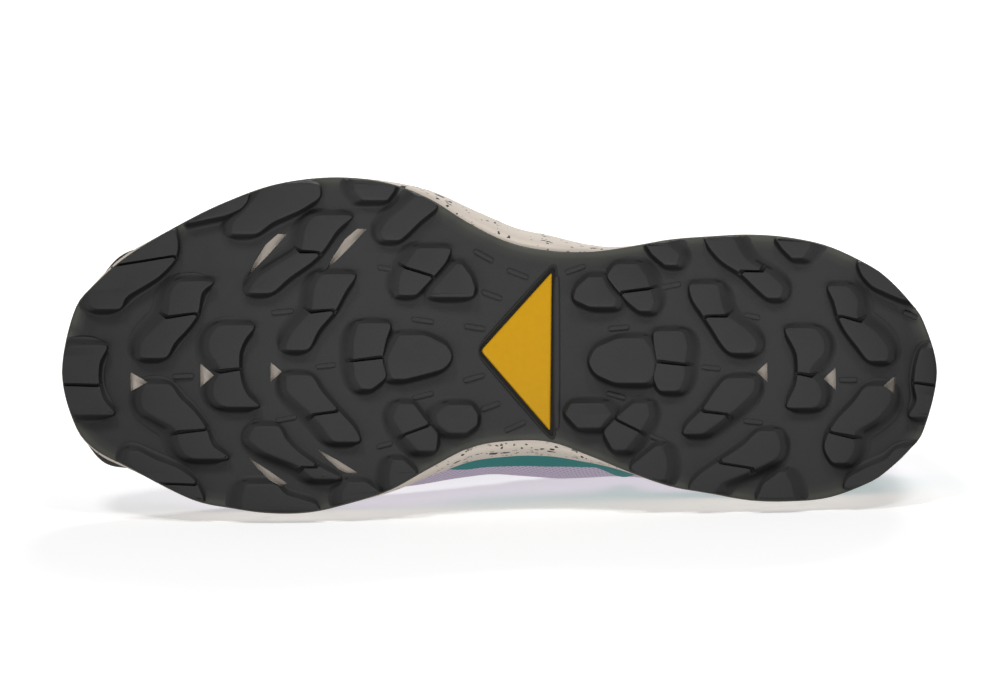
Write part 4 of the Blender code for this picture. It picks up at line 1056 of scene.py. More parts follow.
def cut_mesh(points, faces, outlines, low, high):
    """A closed shell with upright prisms over the outlines cut through it, as a plain mesh where the packed
    shoe lies."""
    mesh = bpy.data.meshes.new("cut")
    fill_mesh(mesh, lay(points), outward(points, faces))
    if not outlines:
        return mesh
    obj = add_object("cut", mesh)
    for outline in outlines:
        count = len(outline)
        points = np.vstack([np.column_stack([outline, np.full(count, z)]) for z in (low, high)])
        faces = [list(range(count))[::-1], list(range(count, 2 * count))]
        faces += [[i, (i + 1) % count, count + (i + 1) % count, count + i] for i in range(count)]
        mesh = bpy.data.meshes.new("cutter")
        mesh.from_pydata(lay(points).tolist(), [], faces)
        mesh.update()
        if turning(outline) < 0:
            mesh.flip_normals()
        cutter = add_object("cutter", mesh)
        modifier = obj.modifiers.new("cut", "BOOLEAN")
        modifier.operation = "DIFFERENCE"
        modifier.solver = "EXACT"
        modifier.use_self = True
        modifier.object = cutter
        result = bpy.data.meshes.new_from_object(obj.evaluated_get(bpy.context.evaluated_depsgraph_get()))
        obj.modifiers.clear()
        obj.data = result
        bpy.data.objects.remove(cutter)
    result = obj.data
    bpy.data.objects.remove(obj)
    return result


def overlaps(points, outline):
    low = np.maximum(points[:, :2].min(axis=0), outline.min(axis=0))
    high = np.minimum(points[:, :2].max(axis=0), outline.max(axis=0))
    return bool(np.all(low < high))


def mark_edge_highlight(mesh):
    """Writes where the painted highlight on the tread's bevelled edge lies, by how near each point lies to
    the edge: 1 at the edge, 0 from 3.5 mm inwards.
    """
    flat = stand(read_points(mesh))[:, :2]
    distance = np.full(len(flat), 1.0)
    for corner in EDGE.points[::2]:
        distance = np.minimum(distance, np.hypot(flat[:, 0] - corner[0], flat[:, 1] - corner[1]))
    write_values(mesh, "rim", 1.0 - smooth_step(distance, 0.0006, 0.0035))


def mark_painted_wall_shade(mesh):
    """Writes painted shade on a lug's sides: 1 on the walls that face the inner side, which lies down, away
    from the keys, and the steep way, and down in the sipes; 0 on the tops, the ramps and past the foot."""
    s = sizes()
    points = stand(read_points(mesh))
    normals = read_points(mesh, "normal") @ LAID[0]
    along = x_to_along(points[:, 0])
    depth = (points[:, 2] - tread_height(along)) / (s.lug_height + arch_height(along))
    facing = 0.45 * normals[:, 0] * np.where(along > 0.45, 1.0, -1.0) + 0.8 * normals[:, 1]
    dark = smooth_step(facing, 0.12, 0.50) * smooth_step(depth, 0.02, 0.22)
    dark = dark * (1.0 - 0.75 * smooth_step(depth, 0.75, 1.02))
    dark = np.maximum(dark, np.abs(depth - s.sipe_depth / s.lug_height) < 0.006)
    write_values(mesh, "wall", dark)


class SHOE_OT_tread(bpy.types.Operator):
    """Makes the rubber plate with its windows, the lugs with their sipes, and the raised bars"""

    bl_idname = "shoe.tread"
    bl_label = "Make the tread"

    def execute(self, context):
        s = sizes()
        rubber = carbon_rubber()
        windows = window_outlines()
        reach = s.toe_spring + s.lug_height + 3 * s.plate
        places = even_places(280)
        profile = ((-3.0, 0.0), (-1.5, 0.0), (-0.75, 0.06), (-0.25, 0.22), (0.0, 0.5), (0.0, 1.0))
        rings = [edge_ring(places, out * s.plate_bevel, plate_height, up * s.plate) for out, up in profile]
        mesh = cut_mesh(*loft(rings), windows + [inset_outline(OPENING_MARGIN)], -s.plate, reach)
        mark_edge_highlight(mesh)
        plate = place_piece("tread_plate", mesh, rubber, ("outsole",), 30.0)
        even = plate.modifiers.new("even_shading", "WEIGHTED_NORMAL")
        even.weight = 100
        even.keep_sharp = True

        whole = bmesh.new()
        for table, width, photo_width, steep in ((FOREFOOT_LUGS, s.ball_width, PHOTO_BALL, 1),
                                                 (HEEL_LUGS, s.heel_width, PHOTO_HEEL, -1)):
            for sipe, *stations in table.values():
                points, faces = lug_mesh(sipe, stations, width, photo_width, steep)
                near = [outline for outline in windows if overlaps(points, outline)]
                part = cut_mesh(points, faces, near, -s.plate, reach)
                whole.from_mesh(part)
                bpy.data.meshes.remove(part)
        mesh = bpy.data.meshes.new("tread_lugs")
        whole.to_mesh(mesh)
        whole.free()
        mark_painted_wall_shade(mesh)
        place_piece("tread_lugs", mesh, rubber, ("outsole",), 32.0)

        bars = [self.bar(*row) for row in BARS] + [self.bar(*WAIST_BAND, 0.0011)]
        mesh_piece("tread_bars", *joined(bars), rubber, "outsole_rubber", ("outsole",))
        return {"FINISHED"}

    def bar(self, along_a, across_a, along_b, across_b, half=0.0009):
        """A raised bar: a closed oval cushion, proud 0.6 mm, from one end to the other."""
        start = tread_point(along_a, across_a)
        end = tread_point(along_b, across_b)
        length = np.linalg.norm(end - start)
        run = (end - start) / length
        side = np.array([-run[1], run[0]])
        angle = angles(24)
        along = squared(np.cos(angle), 0.3) * (0.5 * length)
        across = squared(np.sin(angle), 0.35) * half
        oval = 0.5 * (start + end) + along[:, None] * run + across[:, None] * side
        middle = oval.mean(axis=0)
        rings = []
        for share, proud in ((1.1, -0.0003), (1.0, 0.0), (0.80, 0.00035), (0.45, 0.00055), (0.15, 0.0006)):
            ring = oval - side * ((oval - middle) @ side)[:, None] * (1.0 - share)
            height = plate_height(x_to_along(ring[:, 0])) - proud
            rings.append(np.column_stack([ring, height]))
        return loft(rings)


class SHOE_OT_inset(bpy.types.Operator):
    """Makes the plain triangle at the waist, its bed darkened as painted groove shade, and the bead round its
    opening
    """

    bl_idname = "shoe.inset"
    bl_label = "Make the inset"

    def execute(self, context):
        s = sizes()
        groove = 0.5 * s.inset_groove
        top = plate_rings([(groove + shrink, depth) for shrink, depth in (
            (0.0009, 0.0002), (0.0004, 0.0003), (0.00015, 0.0005), (0.0, 0.0009), (0.0, s.plate))])
        mesh_piece("waist_inset", *loft(top), inset_plastic(), "inset_plastic", ("inset",))
        # Painted shade: the bed under the groove round the inset is darkened to 0.35 of the rubber.
        bed = plate_rings([(-0.0009, 0.0013), (-0.0009, s.plate)])
        mesh_piece("inset_bed", *loft(bed), carbon_rubber("shaded_rubber", 0.35), "outsole_rubber",
                   ("outsole",))
        # Painted shade: the bead's rubber is darkened to 0.7 for the shade of the groove that its inner side
        # bounds.
        bead = plate_rings([(-0.0006, 0.0009), (-0.0007, 0.0000), (-0.0009, -0.0003), (-0.0012, -0.0003),
                            (-0.0014, 0.0000), (-0.0015, 0.0009)])
        mesh_piece("inset_bead", np.vstack(bead), grid_faces(len(bead), len(bead[0]), True, True),
                   carbon_rubber("beaded_rubber", 0.7), "outsole_rubber", ("outsole",))
        return {"FINISHED"}


class SHOE_OT_midsole(bpy.types.Operator):
    """Makes the foam midsole with its flare, the step in its side and its rim"""

    bl_idname = "shoe.midsole"
    bl_label = "Make the midsole"

    def execute(self, context):
        s = sizes()
        places = even_places(280)
        foot = foot_ring(places)
        out = EDGE.normal(places)

        def level(share):
            def rule(along):
                base = plate_height(along) + s.plate + s.gap
                return base + (footbed_height(along) + s.rim_height - base) * share
            return rule

        def outset(share, extra):
            def rule(along, side):
                swell = (side < 0) * s.side_swell / s.flare * math.sin(math.pi * share)
                reach = flare_at(along, side) * (min(1.0, 0.35 + share) + swell)
                return reach + extra + 0.0006 * toe_corner(along, side)
            return rule

        step = s.side_step
        rings = [edge_ring(places, -s.plate_bevel, level(0.0))]
        table = ((0.02, 0.02, -0.0009), (0.06, 0.05, -0.0003), (0.10, 0.08, 0.0), (0.28, 0.28, 0.0002),
                 (0.42, 0.43, 0.0001), (0.45, 0.46, 0.0), (0.462, 0.472, -0.3 * step),
                 (0.47, 0.482, -0.85 * step), (0.48, 0.50, -1.15 * step), (0.52, 0.54, -1.02 * step),
                 (0.66, 0.66, -step), (0.80, 0.80, -step), (0.92, 0.93, -step), (0.97, 0.975, -step - 0.0002),
                 (1.0, 1.0, -step - 0.0007))
        rings += [edge_ring(places, outset(share, extra), level(height)) for share, height, extra in table]
        wall = upper_surface(places, np.full(len(places), s.rim_height / 0.09))
        inner_top = wall.copy()
        inner_top[:, :2] += out * (s.overlay + s.gap + 0.0004)
        inner_top[:, 2] = rings[-1][:, 2]
        inner_foot = foot.copy()
        inner_foot[:, :2] += out * (s.overlay + s.gap)
        inner_foot[:, 2] -= s.gap
        rings += [inner_top, inner_foot]
        foam_piece = mesh_piece("midsole_foam", *loft(rings), foam(), "midsole_foam", ("midsole",))
        write_values(foam_piece.data, "side", np.repeat(np.arange(len(rings)) > 0, len(places)))
        return {"FINISHED"}


def knit_run():
    """The run round the shoe, brought to a whole number of the knit's holes so that the pattern closes."""
    return KNIT_PITCH * round(EDGE.run / KNIT_PITCH)


def upper_uv(places, shares):
    """Metres round the shoe and up the rib, so that a pattern on the piece keeps its real size."""
    return np.column_stack([places * knit_run(), shares * RIB_LENGTH])


def crease(points, share):
    """Soft creases of a worn-in upper: each is a trough across the shoe with a low ridge on both sides,
    (1 - q^2) exp(-q^2 / 2) of the distance q from its line, and fades towards both of its ends."""
    along = x_to_along(points[:, 0])
    lift = np.zeros(len(points))
    for middle, slant, at, reach, width, depth in CREASES:
        q = (along - middle - slant * (share - at)) / width
        fade = np.exp(-((share - at) / reach) ** 2)
        lift -= depth * sizes().wall * (1.0 - q * q) * np.exp(-0.5 * q * q) * fade
    return lift


def creased(points, share):
    """The creases' lift, held off the foot of the upper."""
    return crease(points, share) * smooth_step(share, 0.08, 0.3)


def shell(name, places, levels, outer_lift, inner_lift, material, wrap=True):
    """A shell between two offsets of the upper: levels and lifts are single numbers, columns of a row for
    each level, or arrays that have a column for each place as well."""
    rows = len(levels)
    count = len(places)
    levels, outer_lift, inner_lift = (np.broadcast_to(values, (rows, count)).ravel()
                                      for values in (levels, outer_lift, inner_lift))
    grid = np.tile(places, rows)
    base = upper_surface(grid, levels)
    normal = upper_normal(grid, levels)
    soft = creased(base, levels)
    outer = base + normal * (outer_lift + soft)[:, None]
    inner = base + normal * (inner_lift + soft)[:, None]
    uv = upper_uv(grid, levels)
    inner = inner.reshape(rows, count, 3)[::-1].reshape(-1, 3)
    uv_inner = uv.reshape(rows, count, 2)[::-1].reshape(-1, 2)
    points = np.vstack([outer, inner])
    faces = grid_faces(2 * rows, count, wrap_columns=wrap, wrap_rows=True)
    if not wrap:
        for column in (0, count - 1):
            low = np.arange(rows - 1)
            cap = np.column_stack([low * count, (low + 1) * count, (2 * rows - 2 - low) * count,
                                   (2 * rows - 1 - low) * count]) + column
            faces = np.vstack([faces, cap if column else cap[:, ::-1]])
    return mesh_piece(name, points, faces, material, "upper_mesh", ("upper",), np.vstack([uv, uv_inner]),
                      knit_run() if wrap else 0.0)


def band(name, places, low, high, lift, material, rows=14, wrap=False):
    """An overlay: a band of the upper between two shares of its ribs, raised with eased edges."""
    t = 0.5 - 0.5 * np.cos(np.pi * np.linspace(0.0, 1.0, rows)[:, None])
    levels = low + (high - low) * t
    ease = np.minimum(1.0, np.minimum(t, 1.0 - t) / 0.03) ** 0.5
    return shell(name, places, levels, lift * ease + FILM_EDGE, -FILM_SINK, material, wrap)


class SHOE_OT_upper(bpy.types.Operator):
    """Makes the knit shell of the upper, its overlays and its padded collar lining"""

    bl_idname = "shoe.upper"
    bl_label = "Make the upper"

    def execute(self, context):
        s = sizes()
        c = colours()
        places = even_places(400)
        levels = np.linspace(0.0, 1.0, 44)[:, None]
        shell("upper_knit", places, levels, 0.0, -s.wall, knit("warp_knit_mesh", c.knit))

        teal = film("teal_film", c.band)
        guard, _ = step_shares(places)
        edge = EDGE.at(places)
        along = x_to_along(edge[:, 0])
        waist = 0.272 * smooth_step(along, 0.33, 0.37) * (1.0 - smooth_step(along, 0.545, 0.60))
        sweep = 0.24 * smooth_step(along, 0.29, 0.33) * (1.0 - smooth_step(along, 0.355, 0.395))
        low_top = np.maximum(0.6 * guard + 0.02, (edge[:, 1] > 0) * (waist + sweep))
        band("lower_band", places, 0.0, low_top, s.overlay * 0.6, teal, 24, True)

        toe = toe_places(THROAT_FRONT, 160)
        band("toe_guard", toe, 0.0, toe_guard_top(toe), s.overlay, film("toe_guard_film", c.guard, 0.6))
        self.toe_lips()

        heel = heel_places(0.27, 160)
        heel_guard, _ = step_shares(heel)
        across = np.abs(np.linspace(-1.0, 1.0, 160))
        counter = heel_guard * (1.0 - 0.8 * smooth_step(across, 0.55, 1.0))
        band("heel_counter", heel, 0.0, counter, s.overlay, teal)

        for name, side in (("eyestay_lateral", -1), ("eyestay_medial", 1)):
            stay = side_places(side, THROAT_FRONT, THROAT_REAR, 120)
            _, stay_top = step_shares(stay)
            band(name, stay, stay_top, 1.0, s.overlay, film("eyestay_film", c.knit, 0.55))

        collar = heel_places(0.325, 260)
        t = np.linspace(0.0, 1.0, 22)[:, None]
        ends = np.linspace(-1.0, 1.0, len(collar))[None, :]
        taper = (1.0 - smooth_step(np.abs(ends), 0.80, 1.0)) * smooth_step(t, 0.0, 0.35)
        padding = 0.0035 * taper * np.sin(np.pi * np.clip(0.15 + 0.85 * t, 0, 1)) ** 0.6
        shell("collar_lining", collar, 0.62 + 0.38 * t, -s.wall * 0.6, -s.wall - 0.0002 - padding,
              cloth("collar_lining_cloth", c.lining), wrap=False)
        return {"FINISHED"}

    def toe_lips(self):
        """The foot of the toe guard, which wraps over the midsole's side round the toe and swells out at
        both corners: an oval section carried along the tread's edge, thin where it ends. It is tucked in
        under the upper by the same amount all the way."""
        s = sizes()
        tuck = 0.0042
        places = toe_places(0.84, 150)
        taper = np.clip(1.0 - np.abs(np.linspace(-1.0, 1.0, 150)) ** 5, 0.0, 1.0)
        edge = EDGE.at(places)
        out = EDGE.normal(places)
        along = x_to_along(edge[:, 0])
        reach = -0.0004 + np.where(edge[:, 1] < 0, 0.0024, 0.0030) * toe_corner(along, edge[:, 1])
        base = plate_height(along) + s.plate
        high = footbed_height(along) + s.rim_height + 0.0006
        low = base + 0.45 * (high - base)
        rows = []
        for angle in angles(16):
            distance = -tuck + (tuck + reach) * 0.5 * (1 + squared(np.cos(angle), 0.5))
            height = 0.5 * (low + high) + 0.5 * (high - low) * taper * squared(np.sin(angle), 0.7)
            flat = edge + out * (distance * taper - tuck * (1.0 - taper))[:, None]
            rows.append(np.column_stack([flat, height]))
        points = np.stack(rows, axis=1).reshape(-1, 3)
        mesh_piece("toe_guard_foot", points, ring_faces(150, 16), film("toe_foot_film", colours().guard, 0.6),
                   "upper_mesh", ("upper",))


def stitch_line(places, shares, lift, pitch=0.0030, length=0.0021, width=0.0006):
    """Even stitches along a line of the upper: each is a small pointed oval of four rings of six, laid
    along the line and half sunk in the surface."""
    line = upper_surface(places, shares)
    normal = upper_normal(places, shares)
    line = line + normal * (creased(line, shares) + lift)[:, None]
    chord = arc_length(line)
    at = np.arange(0.5 * pitch, chord[-1], pitch)
    middle, up, ahead = (np.column_stack([np.interp(at, chord, values[:, k]) for k in range(3)])
                         for values in (line, normal, np.gradient(line, axis=0)))
    ahead = unit(ahead)
    side = unit(np.cross(ahead, up))
    up = np.cross(side, ahead)
    t = np.repeat(np.array([-0.5, -0.3, 0.3, 0.5]), 6)
    size = np.repeat(np.array([0.35, 1.0, 1.0, 0.35]), 6)
    angle = np.tile(angles(6), 4)
    points = (middle[:, None] + ahead[:, None] * (t * length)[None, :, None]
              + side[:, None] * (0.5 * width * size * np.cos(angle))[None, :, None]
              + up[:, None] * (0.42 * width * size * np.sin(angle))[None, :, None])
    faces = ring_faces(4, 6)
    return points.reshape(-1, 3), (faces[None] + 24 * np.arange(len(at))[:, None, None]).reshape(-1, 4)


class SHOE_OT_trim(bpy.types.Operator):
    """Makes the stitch rows along the overlays and the collar, and the punched eyelets with their rims"""

    bl_idname = "shoe.trim"
    bl_label = "Make the stitches and eyelets"

    def execute(self, context):
        s = sizes()
        c = colours()
        rows = []
        for side in (-1, 1):
            stay = side_places(side, 0.79, 0.33, 200)
            _, start = step_shares(stay)
            for shares in (start + 0.018, start + 0.048, np.full(200, 0.975)):
                rows.append(stitch_line(stay, shares, s.overlay))
        collar = heel_places(THROAT_REAR, 300)
        for share in (0.965, 0.925):
            rows.append(stitch_line(collar, np.full(300, share), 0.0))
        toe = toe_places(0.82, 200)
        rows.append(stitch_line(toe, toe_guard_top(toe) * 0.93, s.overlay))
        points, faces = joined(rows)
        mesh_piece("stitches", points, faces, cloth("spun_polyester_thread", c.stitch, 0.0004), "upper_mesh",
                   ("upper",), uv=points[:, :2])

        eyelets = [eyelet_point(row, side, s.overlay) for row in range(s.crossings + 1) for side in (-1, 1)]
        mesh_piece("eyelet_rims", *joined([self.ring(*eyelet) for eyelet in eyelets]),
                   film("eyelet_rim_film", c.band, 0.4), "upper_mesh", ("upper",))
        # Painted shade: the nearly black discs stand for the shade inside the punched holes.
        mesh_piece("eyelet_holes", *joined([self.hole(*eyelet) for eyelet in eyelets]),
                   film("shaded_hole", shade(c.lining, 0.12), 0.9), "upper_mesh", ("upper",))
        return {"FINISHED"}

    def axes(self, normal):
        side = unit(np.cross(normal, [1.0, 0.0, 0.0]))
        return side, np.cross(side, normal)

    def ring(self, middle, normal, radius=0.0030, tube=0.0007):
        """A torus: a small circle carried round the hole's edge."""
        side, ahead = self.axes(normal)
        u, v = np.meshgrid(angles(20), angles(8), indexing="ij")
        reach = (radius + tube * np.cos(v))[..., None]
        points = (middle + reach * (np.cos(u)[..., None] * side + np.sin(u)[..., None] * ahead)
                  + (0.6 * tube * np.sin(v))[..., None] * normal)
        return points.reshape(-1, 3), grid_faces(20, 8, True, True)

    def hole(self, middle, normal, radius=0.0026):
        """The disc of a punched hole, a flat cylinder sunk in the eyestay, coloured nearly black as painted
        shade.
        """
        side, ahead = self.axes(normal)
        angle = angles(16)[:, None]
        circle = np.cos(angle) * side + np.sin(angle) * ahead
        return loft([middle + circle * radius + normal * lift for lift in (-0.0006, 0.0004)])


class SHOE_OT_insole(bpy.types.Operator):
    """Makes the insole"""

    bl_idname = "shoe.insole"
    bl_label = "Make the insole"

    def execute(self, context):
        s = sizes()
        places = even_places(200)
        foot = foot_ring(places)
        out = EDGE.normal(places)
        rings = []
        for inset, up in ((0.0, 0.0), (0.0, 0.85), (0.0006, 0.97), (0.0016, 1.0)):
            ring = foot[:, :2] - out * (s.wall + 2 * s.gap + inset)
            height = footbed_height(x_to_along(ring[:, 0])) + s.gap + up * s.insole
            rings.append(np.column_stack([ring, height]))
        points, faces = loft(rings)
        pad = mesh_piece("insole_pad", points, faces, cloth("insole_cloth", colours().footbed),
                         "insole_cloth", ("insole",), uv=points[:, :2])
        return {"FINISHED"}


def throat_line(along):
    """Height and half width of the throat's edge at a place along, read from the ribs."""
    s = sizes()
    order = sorted((row for row in RIBS if row[5] == "instep"), key=lambda row: row[2])
    tops = [row[2] for row in order]
    heights = [row[4] * s.instep_height for row in order]
    halves = [row[3] * s.throat_width for row in order]
    slope = (heights[-1] - heights[-2]) / (tops[-1] - tops[-2])
    along = np.asarray(along, float)
    height = hermite(along, tops, heights) + np.where(along > tops[-1], (along - tops[-1]) * 1.6 * slope, 0.0)
    return height, hermite(along, tops, halves)


def throat_slope(along, y):
    """How steeply the eyestay on that side falls away from the throat, read from the ribs' top handles."""
    rows = sorted((row for row in RIBS if row[5] == "instep" and row[10] > 0), key=lambda row: row[2])
    tops = [row[2] for row in rows]
    lateral, medial = (hermite(along, tops, [row[12] / row[k] for row in rows]) for k in (10, 11))
    return np.minimum(np.where(np.asarray(y) < 0, lateral, medial), 1.8)


def tongue_height(along, y):
    """Top of the tongue: under the throat's edges at its sides, a little proud of them in the middle."""
    s = sizes()
    rows = np.array(TONGUE_ROWS[::-1])
    raised, crown, width = (hermite(along, rows[:, 0], rows[:, k]) for k in (1, 2, 3))
    edge_height, edge_half = throat_line(along)
    half = np.maximum(edge_half, 0.15 * s.throat_width)
    slope = throat_slope(along, y)
    past = np.maximum(0.0, np.abs(y) - 0.85 * half)
    under = 1.2 * np.hypot(1.0, slope) * (s.wall + s.gap)
    bulge = np.maximum(0.0, 1.0 - (y / (width * s.throat_width)) ** 2)
    return edge_height - under + (raised + crown * bulge) * s.throat_width - 1.05 * slope * past


def instep_height(along, y):
    """A height just over the eyestays: level across the throat, then down along their slope."""
    slope = throat_slope(along, y)
    edge_height, edge_half = throat_line(along)
    past = np.maximum(0.0, np.abs(y) - edge_half)
    return edge_height + sizes().overlay * np.hypot(1.0, slope) - slope * past


class SHOE_OT_tongue(bpy.types.Operator):
    """Makes the padded tongue"""

    bl_idname = "shoe.tongue"
    bl_label = "Make the tongue"

    def execute(self, context):
        s = sizes()
        rows = np.array(TONGUE_ROWS)
        long = 60
        wide = 33
        along = np.linspace(rows[0, 0], rows[-1, 0], long)
        half = hermite(along, rows[::-1, 0], rows[::-1, 3]) * s.throat_width
        run = np.linspace(0.0, 1.0, long)
        half = half * np.sqrt(1.0 - 0.75 * np.clip((run - 0.86) / 0.14, 0.0, 1.0) ** 2)
        v = np.linspace(-1.0, 1.0, wide)
        place = np.repeat(along, wide)
        y = np.tile(v, long) * np.repeat(half, wide)
        grid = np.column_stack([along_to_x(place), y, tongue_height(place, y)]).reshape(long, wide, 3)
        normal = unit(np.cross(np.gradient(grid, axis=0), np.gradient(grid, axis=1)))
        if normal[..., 2].mean() < 0:
            normal = -normal
        end = np.minimum(run, np.linspace(1.0, 0.0, long))[:, None]
        edge = np.sqrt(np.clip(1.0 - np.abs(v) ** 8, 0.0, 1.0))[None, :]
        edge = edge * np.clip(end / 0.03, 0.0, 1.0) ** 0.5
        middle = grid - normal * 0.5 * s.tongue
        outer = middle + normal * (0.5 * s.tongue * edge)[..., None]
        inner = middle - normal * (0.5 * s.tongue * edge)[..., None]
        points = np.vstack([outer.reshape(-1, 3), inner.reshape(-1, 3)])
        top_faces = grid_faces(long, wide)
        faces = np.vstack([top_faces, top_faces[:, ::-1] + long * wide])
        rim = np.concatenate([np.arange(wide), np.arange(1, long) * wide + wide - 1,
                              (long - 1) * wide + np.arange(wide - 2, -1, -1),
                              np.arange(long - 2, 0, -1) * wide])
        after = np.roll(rim, -1)
        sides = np.column_stack([rim, after, after + long * wide, rim + long * wide])
        faces = np.vstack([faces, sides[:, ::-1]])
        uv = np.column_stack([np.repeat(arc_length(grid[:, wide // 2]), wide), y])
        pad = mesh_piece("tongue_pad", points, faces, knit("tongue_mesh", colours().knit, 0.0032, 0.3),
                         "tongue_cloth", ("tongue",), np.vstack([uv, uv]))
        return {"FINISHED"}


def eyelet_point(row, side, lift):
    """A point on the eyestay where the lace enters: row 0 is next to the toe."""
    share = row / sizes().crossings
    first, last = (float(EDGE.place_of(RIBS[k][1], side)) for k in (3, 6))
    place = np.array([first + (last - first) * share])
    level = np.array([0.90])
    normal = upper_normal(place, level)[0]
    return upper_surface(place, level)[0] + normal * lift, normal


def ribbon(path, normals, width, thickness, sides=12):
    """A flat cord: a rounded oval section carried along a path, wide across the run and thin along the
    given normals."""
    run = unit(np.gradient(path, axis=0))
    across = unit(np.cross(run, normals))
    up = np.cross(across, run)
    angle = angles(sides)
    wide = squared(np.cos(angle), 0.6) * 0.5 * width
    thin = squared(np.sin(angle), 0.8) * 0.5 * thickness
    points = path[:, None] + across[:, None] * wide[None, :, None] + up[:, None] * thin[None, :, None]
    round_run = angle / (2 * np.pi) * width * 2
    uv = np.column_stack([np.repeat(arc_length(path), sides), np.tile(round_run, len(path))])
    return points.reshape(-1, 3), ring_faces(len(path), sides), uv


class SHOE_OT_lace(bpy.types.Operator):
    """Runs the lace through the eyelets, over and under, up to the top pair"""

    bl_idname = "shoe.lace"
    bl_label = "Make the lace"

    def execute(self, context):
        s = sizes()
        pieces = []
        uvs = []
        dive_depth = 0.0045
        eyelet_lift = s.overlay + 0.5 * s.lace_thickness
        strands = [((0, -1), (0, 1), 0.0)]
        for row in range(s.crossings):
            for side in (-1, 1):
                strands.append(((row, side), (row + 1, -side), s.lace_thickness * (0.5 if side > 0 else 0.0)))
        for eyelet_a, eyelet_b, lift in strands:
            start, normal_a = eyelet_point(*eyelet_a, eyelet_lift)
            end, normal_b = eyelet_point(*eyelet_b, eyelet_lift)
            t = 0.5 - 0.5 * np.cos(np.pi * np.linspace(0.0, 1.0, 41))[:, None]
            up = unit(normal_a + normal_b)
            path = start + (end - start) * t + up * 0.30 * np.linalg.norm(end - start) * t * (1 - t)
            along = x_to_along(path[:, 0])
            floor = np.maximum(tongue_height(along, path[:, 1]), instep_height(along, path[:, 1]))
            floor = floor + 0.9 * s.lace_thickness + lift * np.sin(np.pi * t[:, 0])
            path[:, 2] = np.maximum(path[:, 2], floor)
            path[:, 2] = np.convolve(np.pad(path[:, 2], 2, mode="edge"), np.ones(5) / 5, mode="valid")
            normals = normal_a * (1 - t) + normal_b * t
            dive = np.clip((np.abs(t[:, 0] - 0.5) * 2 - 0.92) / 0.08, 0.0, 1.0)
            path = path - normals * (dive * dive_depth)[:, None]
            points, faces, uv = ribbon(path, normals, s.lace_width, s.lace_thickness)
            pieces.append((points, faces))
            uvs.append(uv)
        mesh_piece("lace_run", *joined(pieces), self.woven(), "lace_cord", ("lace",), np.vstack(uvs))
        return {"FINISHED"}

    def woven(self):
        """Flat woven polyester: a fine herringbone of yarns 0.9 mm apart along the cord, folded every 5.5 mm
        across it."""
        c = colours()
        material, tree, shader, place = new_material("woven_lace", c.lace, 0.8, 1.46, Sheen_Weight=0.3)
        split = add_node(tree, "ShaderNodeSeparateXYZ", {"Vector": place.outputs["UV"]})
        fold = calculate(tree, "PINGPONG", split.outputs["Y"], 0.0055)
        slant = calculate(tree, "ADD", split.outputs["X"], fold)
        wave = calculate(tree, "SINE", calculate(tree, "MULTIPLY", slant, 2.0 * math.pi / 0.0009))
        tone = mix_colour(tree, ramp(tree, wave, -1.0, 1.0), shade(c.lace, 0.7), shade(c.lace, 1.2))
        surface(tree, shader, tone, wave, 0.0002, 0.7)
        return material


# name, kind, place, aim, power
LAMPS = (
    ("left_key", "SUN", (-0.9, -0.9, 1.2), (0.26, 0.46, -0.85), 0.90),
    ("right_key", "SUN", (0.9, -0.9, 1.2), (-0.22, 0.48, -0.85), 0.70),
    ("low_box", "AREA", (0.0, -0.26, 0.006), (0.0, 0.25, 0.97), 1.8),
    ("back_box", "AREA", (0.25, 1.3, 0.9), (-0.17, -0.83, -0.53), 10.0),
)


